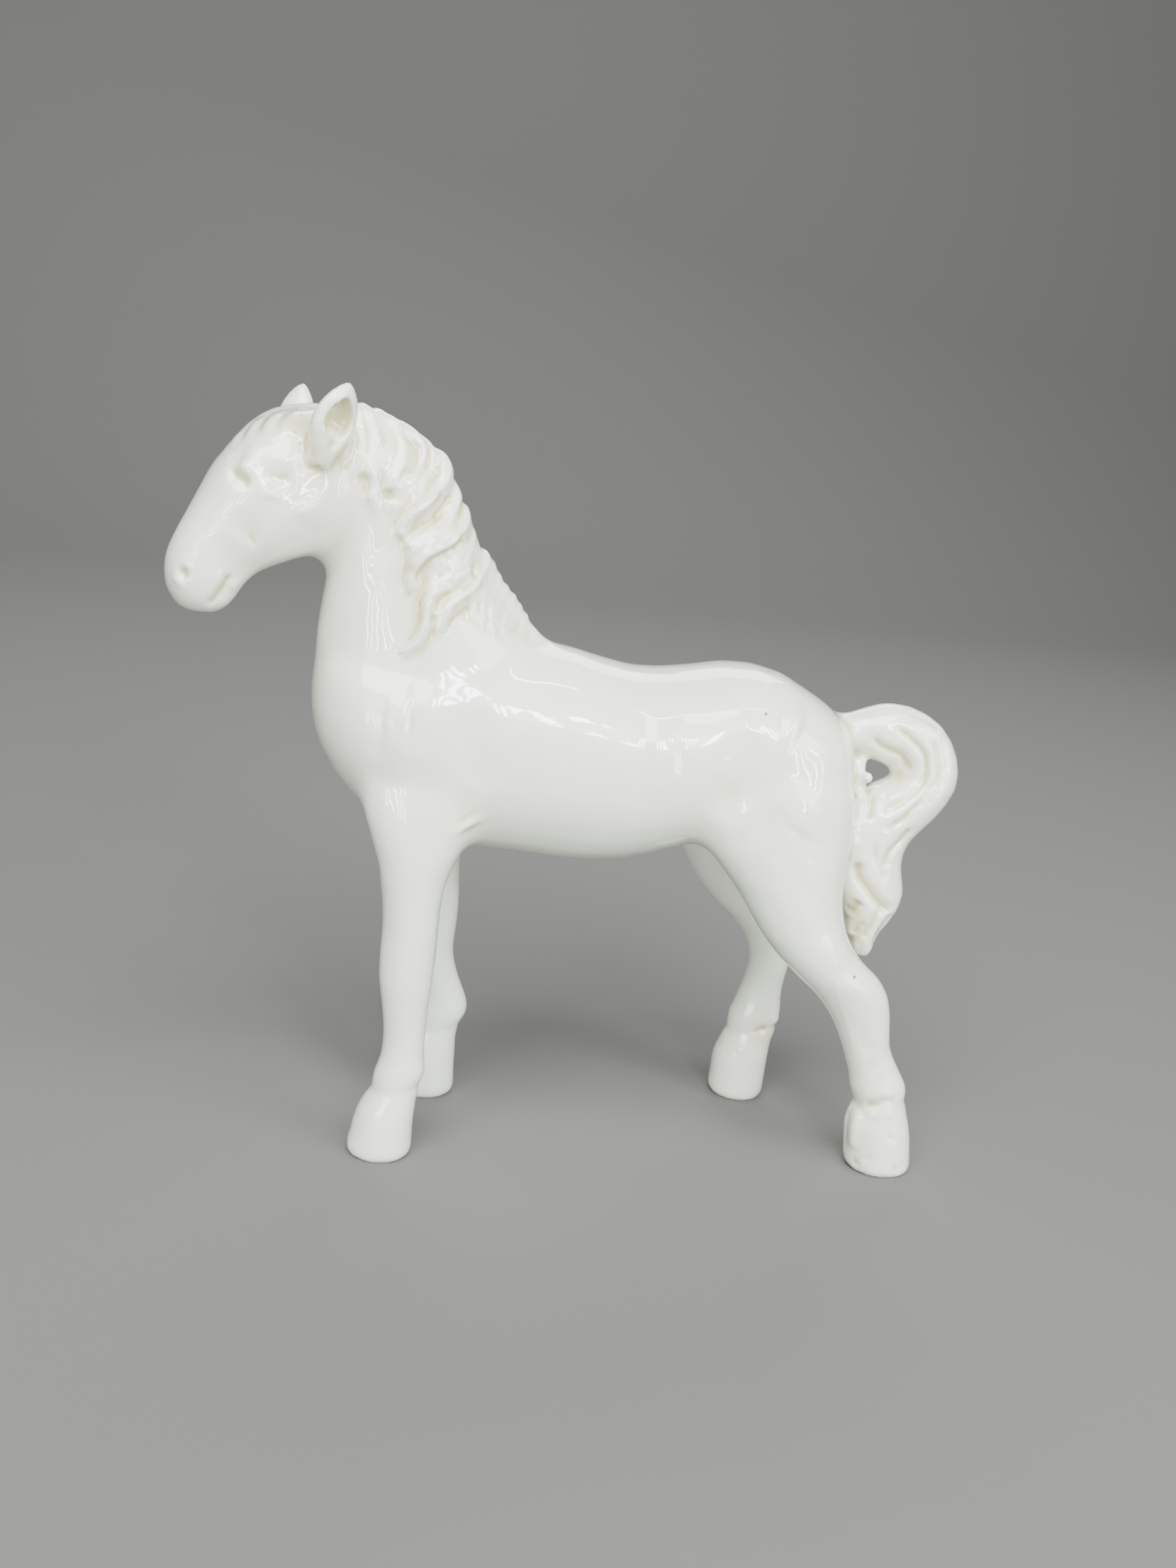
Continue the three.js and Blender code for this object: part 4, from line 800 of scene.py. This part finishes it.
legs = {
    # sole centre x and y, height at the centre, rise per mm backwards, half width, depth
    "rings": [
        (36.5, -8.3, 7.9, 0.12, 0.7, 0.2), (36.5, -8.3, 9.8, 0.1, 1.0, -0.12), (36.5, -8.3, 5.3, 0.1, 1.4, -0.12),
        (25.1, 8.3, 8.2, 0.22, 0.65, 0.22), (25.1, 8.3, 10.1, 0.1, 1.0, -0.12), (25.1, 8.3, 5.2, 0.2, 1.4, -0.12),
        (-16.5, -7.0, 7.2, 0.15, 0.7, 0.22), (-16.5, -7.0, 9.0, 0.1, 1.0, -0.1), (-16.5, -7.0, 4.8, 0.1, 1.4, -0.12),
        (-10.9, 7.0, 7.6, 0.15, 0.7, 0.22), (-10.9, 7.0, 9.6, 0.1, 1.0, -0.12), (-10.9, 7.0, 4.9, 0.1, 1.4, -0.12),
    ],
    "marks": [
        ([(33.1, -9.9, 8.0), (34.2, -10.6, 8.2), (35.2, -10.8, 8.7), (36.6, -10.7, 8.5)], 0.45, 0.26),
        ([(32.9, -9.6, 7.2), (32.8, -9.6, 5.9), (32.7, -9.7, 4.3),
          (32.9, -9.8, 2.4)], 0.5, -0.26),  # front edge of the wall
        ([(33.3, -10.4, 6.9), (34.6, -11.0, 7.2), (36.2, -11.1, 7.0)], 0.5, -0.14),
        ([(31.9, -8.2, 6.6), (31.8, -8.3, 4.2), (32.2, -8.4, 1.4)], 0.5, 0.2),
        ([(35.6, -11.2, 5.1), (36.3, -11.2, 4.7), (36.9, -11.2, 4.1)], 0.28, 0.15),
        ([(35.3, -11.0, 6.5), (35.6, -11.1, 5.9)], 0.4, -0.1),
        ([(37.0, -11.4, 1.4), (37.4, -11.4, 1.2)], 0.24, 0.24),
        ([(37.9, -11.1, 1.5), (38.3, -10.9, 1.6)], 0.24, 0.24),
        ([(32.9, -9.8, 1.3), (33.6, -10.4, 0.9)], 0.34, 0.2),
        ([(34.0, -10.9, 2.2), (34.5, -11.1, 1.9)], 0.3, 0.1),
        ([(25.5, 5.7, 8.2), (26.4, 5.7, 8.7), (27.4, 6.0, 8.6)], 0.3, 0.36),  # under the far fetlock
        ([(27.4, 6.3, 9.8), (28.4, 7.2, 9.6)], 0.7, -0.3),
        ([(24.0, 6.0, 6.0), (25.4, 5.7, 6.4)], 0.5, -0.14),
        ([(24.9, -9.9, 27.0), (27.5, -10.1, 22.0), (30.2, -9.8, 16.5),
          (31.6, -9.5, 12.0)], 0.14, -0.07),  # mould seam
    ],
}
normals = normalsOf(points, faces)
for x, y, height, slope, halfWidth, depth in legs["rings"]:
    aroundLeg = (np.abs(points[:, 0] - x) < 9) & (np.abs(points[:, 1] - y) < 6)
    near = np.flatnonzero(aroundLeg & (points[:, 2] < 15) & (points[:, 2] > 1.2))
    level = points[near, 2] - height - slope * (points[near, 0] - x)
    profile = np.exp(-((level / halfWidth) ** 2)) * (0.35 + 0.65 * np.abs(normals[near, 0]))
    points[near] -= normals[near] * (1, 1, 0.3) * (depth * profile)[:, None]
normals = normalsOf(points, faces)
for path, halfWidth, depth in legs["marks"]:
    press(points, normals, path, halfWidth, depth, 0.2)

# drying hole in the belly
ventX, ventY = barrel["vent"]
away = np.hypot(points[:, 0] - ventX, points[:, 1] - ventY)
near = np.flatnonzero((away < 2) & (points[:, 2] < 36) & (normals[:, 2] < -0.5))
points[near, 2] += barrel["ventDepth"] * (1 - smoothStep(away[near], *barrel["ventRim"]))

# hair marks of the tail
onTail = np.flatnonzero((points[:, 0] > 28.3) & (points[:, 2] < 49.5) & (points[:, 2] > 21) & (points[:, 1] > -7.2))
onTail = onTail[[tailTree.find_nearest(Vector(p), tail["reach"])[0] is not None for p in points[onTail]]]
normals = normalsOf(points, faces)
for path, halfWidth, depth in tail["marks"]:
    distance, along = toPath(points[onTail] * (1, 0, 1), curvePoints([(x, 0, z) for x, z in path], 0.3))
    profile = np.exp(-((distance / halfWidth) ** 2)) * smoothStep(1 - along, -0.02, 0.15)
    profile *= smoothStep(along, -0.02, 0.12)
    profile *= smoothStep(np.abs(normals[onTail, 1]), 0.1, 0.5)
    points[onTail] -= normals[onTail] * (depth * profile)[:, None]

for centre, radius, steps in tail["melted"]:
    softened(points, edges, centre, radius, steps)
report("tool marks")

# a new even skin over the worked one, with a flat sole under each hoof
points, faces = biggestIsland(*contour(points, faces, fine, 0, fine, fine))
edges = edgesOf(faces)
points = relaxed(points, edges, 2)
points[:, 2] = np.where(points[:, 2] < soleHeight, 0, points[:, 2])
normals = normalsOf(points, faces)
report("finished skin %d quads" % len(faces))

# Painted values on the points: thick glaze and painted shade in the hollows, and stains with painted shade in some
# pits
painted = {
    # spots of thick glaze and a yellow spot, and painted shade in the dark pits and creases of mane, tail, eye,
    # nostril and far fetlock
    "poolsAndShade": [
        # place, radius, strength
        ((-29.0, -4.4, 70.6), 1.2, 0.75), ((-27.6, -6.8, 68.4), 0.7, 0.5), ((-26.2, -5.6, 72.0), 1.7, 0.45),
        ((30.8, -5.5, 26.3), 2.0, 0.6), ((29.6, -3.0, 43.8), 1.2, 0.5), ((-5.4, -5.1, 51.9), 0.45, 0.9),
        ((-11.6, -3.5, 59.6), 0.8, 0.7), ((-15.8, -5.0, 64.0), 1.0, 0.3), ((-21.0, -5.7, 65.2), 1.4, 0.35),
        ((-23.2, -5.4, 65.8), 1.2, 0.3), ((28.6, -1.0, 48.4), 1.6, 0.3), ((26.5, 5.9, 8.5), 1.0, 0.5),
        ((-31.4, -5.0, 69.6), 1.6, 0.25), ((-34.0, -6.7, 65.6), 0.9, 0.3), ((-38.3, -7.2, 56.7), 0.4, 0.5),
    ],
    # stains on the mouth and the chipped hoof, and painted shade in the pits by the tail's opening, on the lower tail
    # and under the far fetlock
    "stainsAndShade": [
        ((-35.1, -6.7, 55.2), 0.55, 0.45), ((-35.6, -6.6, 54.5), 0.55, 0.6), ((-34.8, -6.6, 55.8), 0.4, 0.3),
        ((37.2, -11.3, 1.3), 0.35, 0.7), ((38.1, -11.0, 1.5), 0.3, 0.7), ((33.2, -10.2, 0.9), 0.6, 0.3),
        ((26.6, 5.9, 8.8), 0.35, 0.4), ((29.6, -5.7, 29.2), 0.5, 0.3), ((30.2, -1.4, 40.4), 0.9, 0.3),
        ((30.6, -3.8, 39.7), 0.6, 0.5), ((30.3, -4.8, 38.6), 0.5, 0.4), ((31.6, -4.7, 39.3), 0.5, 0.2),
    ],
    "hollow": (0.003, 0.045),  # mm below the skin around it: where the cream and painted shade start and where they are full
    "soleStain": 0.55,
    "soleEdge": (0.02, 0.45),  # heights between which the stain at the soles fades
}


def dabs(spots):
    value = np.zeros(len(points))
    for place, radius, strength in spots:
        distance = np.linalg.norm(points - place, axis=1)
        value = np.maximum(value, strength * np.exp(-((distance / radius) ** 2)))
    return value


# thick glaze and painted shade where the skin lies below its surroundings, and in the listed spots
hollow = np.einsum("ij,ij->i", spread(points, edges, 12) - points, normals)
poolAndShade = np.maximum(smoothStep(spread(hollow, edges, 3), *painted["hollow"]), dabs(painted["poolsAndShade"]))
soleStain = painted["soleStain"] * (1 - smoothStep(points[:, 2], *painted["soleEdge"]))
# real stains and the unglazed soles, and painted shade in the pits by the tail and under the far fetlock
stainAndShade = np.maximum(dabs(painted["stainsAndShade"]), soleStain)
rise = np.zeros(len(points))
for i in np.flatnonzero((points[:, 0] > -27) & (points[:, 0] < -2) & (points[:, 2] > 49) & (points[:, 1] < 6)):
    hit, normal, index, distance = baseTree.find_nearest(Vector(points[i]))
    rise[i] = distance if (Vector(points[i]) - hit).dot(normal) > 0 else 0
painting = np.stack([poolAndShade, stainAndShade, spread(rise, edges, 3)], axis=1)

# fewer faces on the flat parts; place, normal and paint are read from the nearest part of the full skin
fullTree, fullPoints, fullFaces, fullNormals = treeOf(points, faces), points, faces, normals
points, faces = biggestIsland(*leanSkin(points, faces, fine, flatShare))
normals, paint = np.empty((len(points), 3)), np.empty((len(points), 3))
for i, place in enumerate(points.copy()):
    hit, normal, index, distance = fullTree.find_nearest(Vector(place))
    points[i] = hit
    corners = fullFaces[index]
    weight = 1 / (np.linalg.norm(fullPoints[corners] - points[i], axis=1) + 0.002)
    weight /= weight.sum()
    normals[i], paint[i] = weight @ fullNormals[corners], weight @ painting[corners]
normals /= np.linalg.norm(normals, axis=1)[:, None]
edges = edgesOf(faces)
for turn in range(8):
    # a sliver that has turned over is eased back among its neighbours
    cross = crossOf(points, faces)
    lengths = np.maximum(np.linalg.norm(cross, axis=1), 1e-12)
    turned = np.einsum("ij,ij->i", cross, normals[faces].sum(axis=1)) / lengths < 1.8
    if not turned.any():
        break
    loose = np.unique(faces[turned])
    points[loose] = aroundMean(edges, points)[loose]
    report("%d slivers" % turned.sum())
points[:, 2] = np.where(points[:, 2] < 0.02, 0, points[:, 2])
values = {"poolAndShade": paint[:, 0], "stainAndShade": paint[:, 1]}
report("lean skin %d triangles" % len(faces))

# which piece each face belongs to, distances in mm
cuts = {
    "neckHeight": 56.67,  # of the luting joint, as it shows on the skin
    "legHeight": 27.45,
    "maneRise": 0.12,  # of the mane over the bare neck
    "earReach": 0.32,
    "tailReach": 1.4,
    "torsoReach": 0.3,
    "underMane": 0.15,  # how deep the neck goes on below the mane
}
centres = points[faces].mean(axis=1)
maneFace = paint[faces, 2].mean(axis=1) > cuts["maneRise"]
maneFace[np.flatnonzero(maneFace)[~inBiggest(faces[maneFace])]] = False
label = np.full(len(faces), "body_skin", dtype=object)
label[centres[:, 2] > cuts["neckHeight"]] = "head_skin"
label[maneFace] = "mane_skin"
for name in ("left_ear", "right_ear"):
    tree = treeOf(*readNodes([name]))
    low, high = np.array(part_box(name)) / mm
    for i in np.flatnonzero(np.all((centres > low - 0.5) & (centres < high + 0.5), axis=1)):
        if tree.find_nearest(Vector(centres[i]), cuts["earReach"])[0] is not None:
            label[i] = name + "_skin"
isLow, isFront, isNear = centres[:, 2] < cuts["legHeight"], centres[:, 0] < 0, centres[:, 1] < 0
for name in casting["legs"]:
    label[isLow & (isFront == ("foreleg" in name)) & (isNear == ("left" in name))] = name + "_skin"
torsoTree = treeOf(*torso)
for i in np.flatnonzero((centres[:, 0] > 26) & (centres[:, 2] > 21) & (centres[:, 2] < 49.5)):
    place = Vector(centres[i])
    onTorso = torsoTree.find_nearest(place, cuts["torsoReach"])[0] is not None
    if tailTree.find_nearest(place, cuts["tailReach"])[0] is not None and not onTorso:
        label[i] = "tail_skin"

# crumbs of one piece go to the piece around them
loose = np.zeros(len(faces), bool)
for name in sorted(set(label)):
    own = np.flatnonzero(label == name)
    loose[own[~inBiggest(faces[own])]] = True
firm = KDTree(int((~loose).sum()))
for i in np.flatnonzero(~loose):
    firm.insert(centres[i], int(i))
firm.balance()
for i in np.flatnonzero(loose):
    label[i] = label[firm.find(centres[i])[1]]
report("labels, %d crumbs" % loose.sum())

replaced = {
    "body_skin": ["body_casting"],
    "head_skin": ["head_casting", "neck_slip"],
    "mane_skin": ["mane"],
    "left_ear_skin": ["left_ear", "left_ear_slip"],
    "right_ear_skin": ["right_ear", "right_ear_slip"],
    "tail_skin": tailNodes,
}
for name in casting["legs"]:
    replaced[name + "_skin"] = [name, slipOf[name]]
inPooledGlaze = ("mane_skin", "tail_skin")

# the neck goes on below the mane: there its points are pulled just under the casting's own skin
maneFaces = faces[label == "mane_skin"]
inner = np.setdiff1d(np.unique(maneFaces), np.unique(faces[label != "mane_skin"]))
underPoints, underNormals = np.empty((len(inner), 3)), np.empty((len(inner), 3))
for row, i in enumerate(inner):
    hit, normal, index, distance = baseTree.find_nearest(Vector(points[i]))
    lift = min((Vector(points[i]) - hit).dot(normal), 0)
    underPoints[row], underNormals[row] = hit + (lift - cuts["underMane"]) * normal, normal
underRow = np.arange(len(points))
underRow[inner] = len(points) + np.arange(len(inner))
underFaces = underRow[maneFaces]
underIsHead = centres[label == "mane_skin"][:, 2] > cuts["neckHeight"]
allPoints = np.concatenate([points, underPoints])
allNormals = np.concatenate([normals, underNormals])
allValues = {name: np.concatenate([value, np.zeros(len(inner))]) for name, value in values.items()}


def facesOf(name):
    own = faces[label == name]
    below = {"mane_skin": underFaces[:, ::-1], "head_skin": underFaces[underIsHead],
             "body_skin": underFaces[~underIsHead]}
    return np.concatenate([own, below[name]]) if name in below else own


def closedPiece(name):
    # one piece of the skin, each open edge closed by a fan to a point inside
    own = facesOf(name)
    directed = np.concatenate([own[:, [i, (i + 1) % 3]] for i in range(3)])
    codes, twins = directed @ (len(allPoints), 1), directed @ (1, len(allPoints))
    rim = directed[~np.isin(codes, twins)]
    used, inverse = np.unique(own, return_inverse=True)
    piecePoints, pieceFaces = list(allPoints[used]), inverse.reshape(own.shape).tolist()
    newRow = {old: new for new, old in enumerate(used)}
    leader = {}

    def leaderOf(v):
        while leader.setdefault(v, v) != v:
            leader[v] = leader[leader[v]]
            v = leader[v]
        return v

    for a, b in rim:
        leader[leaderOf(a)] = leaderOf(b)
    loops = {}
    for a, b in rim:
        loops.setdefault(leaderOf(a), []).append((a, b))
    for loop in loops.values():
        piecePoints.append(np.array([allPoints[a] for a, b in loop]).mean(axis=0))
        pieceFaces += [[newRow[b], newRow[a], len(piecePoints) - 1] for a, b in loop]
    mesh = bpy.data.meshes.new(name)
    mesh.from_pydata((np.array(piecePoints) * mm).tolist(), [], pieceFaces)
    mesh.shade_smooth()
    mesh.update()
    cornerNormals = np.zeros((len(mesh.loops), 3), np.float32)
    cornerNormals[: own.size] = allNormals[own.ravel()]
    if name == "mane_skin":
        cornerNormals[own.size // 2 : own.size] *= -1
    mesh.normals_split_custom_set(cornerNormals.tolist())
    for attribute, value in allValues.items():
        data = np.zeros(len(piecePoints), np.float32)
        data[: len(used)] = value[used]
        mesh.attributes.new(attribute, "FLOAT", "POINT").data.foreach_set("value", data)
    return mesh, len(loops)


for name, nodeNames in replaced.items():
    mesh, loops = closedPiece(name)
    piece = placed(name, mesh)
    mesh.materials.append(pooledGlaze if name in inPooledGlaze else glaze)
    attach(piece, "root")
    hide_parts(*nodeNames)
    report("%s: %d triangles, %d joints closed" % (name, sum(len(p.vertices) - 2 for p in mesh.polygons), loops))

# Table top that runs up behind, soft light, and the camera
studio = {
    "paper": (0.118, 0.118, 0.113, 1),
    "aim": Vector((0.0, 0.0, 0.045)),
    # azimuth and elevation in degrees, distance, width, height in metres, power, colour
    "blinds": [(az, 0, 0.45, 0.007, 0.085, 0.14, (0.93, 0.97, 1)) for az in (-45, -39, -33, -27, -21)]
              + [(az, 8, 0.45, 0.008, 0.2, 0.34, (0.95, 0.98, 1)) for az in (32, 38, 45, 53)],
    "window": [(az, 30, 0.45, 0.018, 0.11, 0.42, (0.92, 0.97, 1)) for az in (4, 9, 14)]
              + [(az, 36, 0.45, 0.018, 0.05, 0.22, (0.92, 0.97, 1)) for az in (23, 29)]
              + [(16, 69, 0.45, 0.24, 0.006, 0.4, (1, 1, 1))],
    "soft": [(-25, 52, 0.7, 0.5, 0.5, 11.0, (1, 0.995, 0.98)), (52, 34, 0.7, 0.35, 0.35, 3.2, (1, 1, 1)),
             (-30, 16, 0.7, 0.3, 0.34, 1.0, (1, 1, 0.99)), (165, 40, 0.5, 0.3, 0.2, 1.2, (1, 1, 1))],
    "room": (0.7, 0.73, 0.7, 1),
    "roomLight": 0.08,
}


def tableTop():
    # y and z of its rows: flat, a quarter round, upright
    bend = [math.pi / 24 * k for k in range(13)]
    rows = [(0.35 + 0.25 * math.sin(turn), 0.25 - 0.25 * math.cos(turn)) for turn in bend]
    rows = [(-0.6, 0)] + rows + [(0.6, 0.8)]
    mesh = bpy.data.meshes.new("table_top")
    corners = [(x, y, z) for y, z in rows for x in (-0.9, 0.9)]
    mesh.from_pydata(corners, [], [(2 * i, 2 * i + 1, 2 * i + 3, 2 * i + 2) for i in range(len(rows) - 1)])
    mesh.shade_smooth()
    top = placed("table_top", mesh)
    material, tree, shader = newMaterial("pale_paper")
    shader.inputs["Base Color"].default_value = studio["paper"]
    shader.inputs["Roughness"].default_value = 0.75
    mesh.materials.append(material)


def towards(azimuth, elevation):
    a, e = math.radians(azimuth), math.radians(elevation)
    return Vector((math.sin(a) * math.cos(e), -math.cos(a) * math.cos(e), math.sin(e)))


def softLight(azimuth, elevation, distance, width, height, power, colour):
    light = bpy.data.lights.new("light", "AREA")
    light.shape, light.size, light.size_y = "RECTANGLE", width, height
    light.energy, light.color = power, colour
    lamp = placed("light", light)
    lamp.location = studio["aim"] + distance * towards(azimuth, elevation)
    lamp.rotation_euler = (studio["aim"] - lamp.location).to_track_quat("-Z", "Y").to_euler()


def setCamera(azimuth=-12, elevation=15.5, roll=7, lens=36.29, distance=160, aim=(1.93, 0, 37.77)):
    a, r = math.radians(azimuth), math.radians(roll)
    back = towards(azimuth, elevation)
    right = Vector((math.cos(a), math.sin(a), 0))
    up = back.cross(right)
    data = bpy.data.cameras.new("camera")
    data.sensor_fit, data.sensor_height, data.lens, data.clip_start = "VERTICAL", 36, lens, 0.01
    camera = placed("camera", data)
    across, upright = right * math.cos(r) + up * math.sin(r), up * math.cos(r) - right * math.sin(r)
    turned = Matrix((across, upright, back)).transposed().to_4x4()
    camera.matrix_world = Matrix.Translation((Vector(aim) + back * distance) * mm) @ turned
    bpy.context.scene.camera = camera


tableTop()
for lamp in studio["blinds"] + studio["window"] + studio["soft"]:
    softLight(*lamp)
world = bpy.data.worlds.new("room")
world.use_nodes = True
world.node_tree.nodes["Background"].inputs["Color"].default_value = studio["room"]
world.node_tree.nodes["Background"].inputs["Strength"].default_value = studio["roomLight"]
bpy.context.scene.world = world
setCamera()
report("studio")
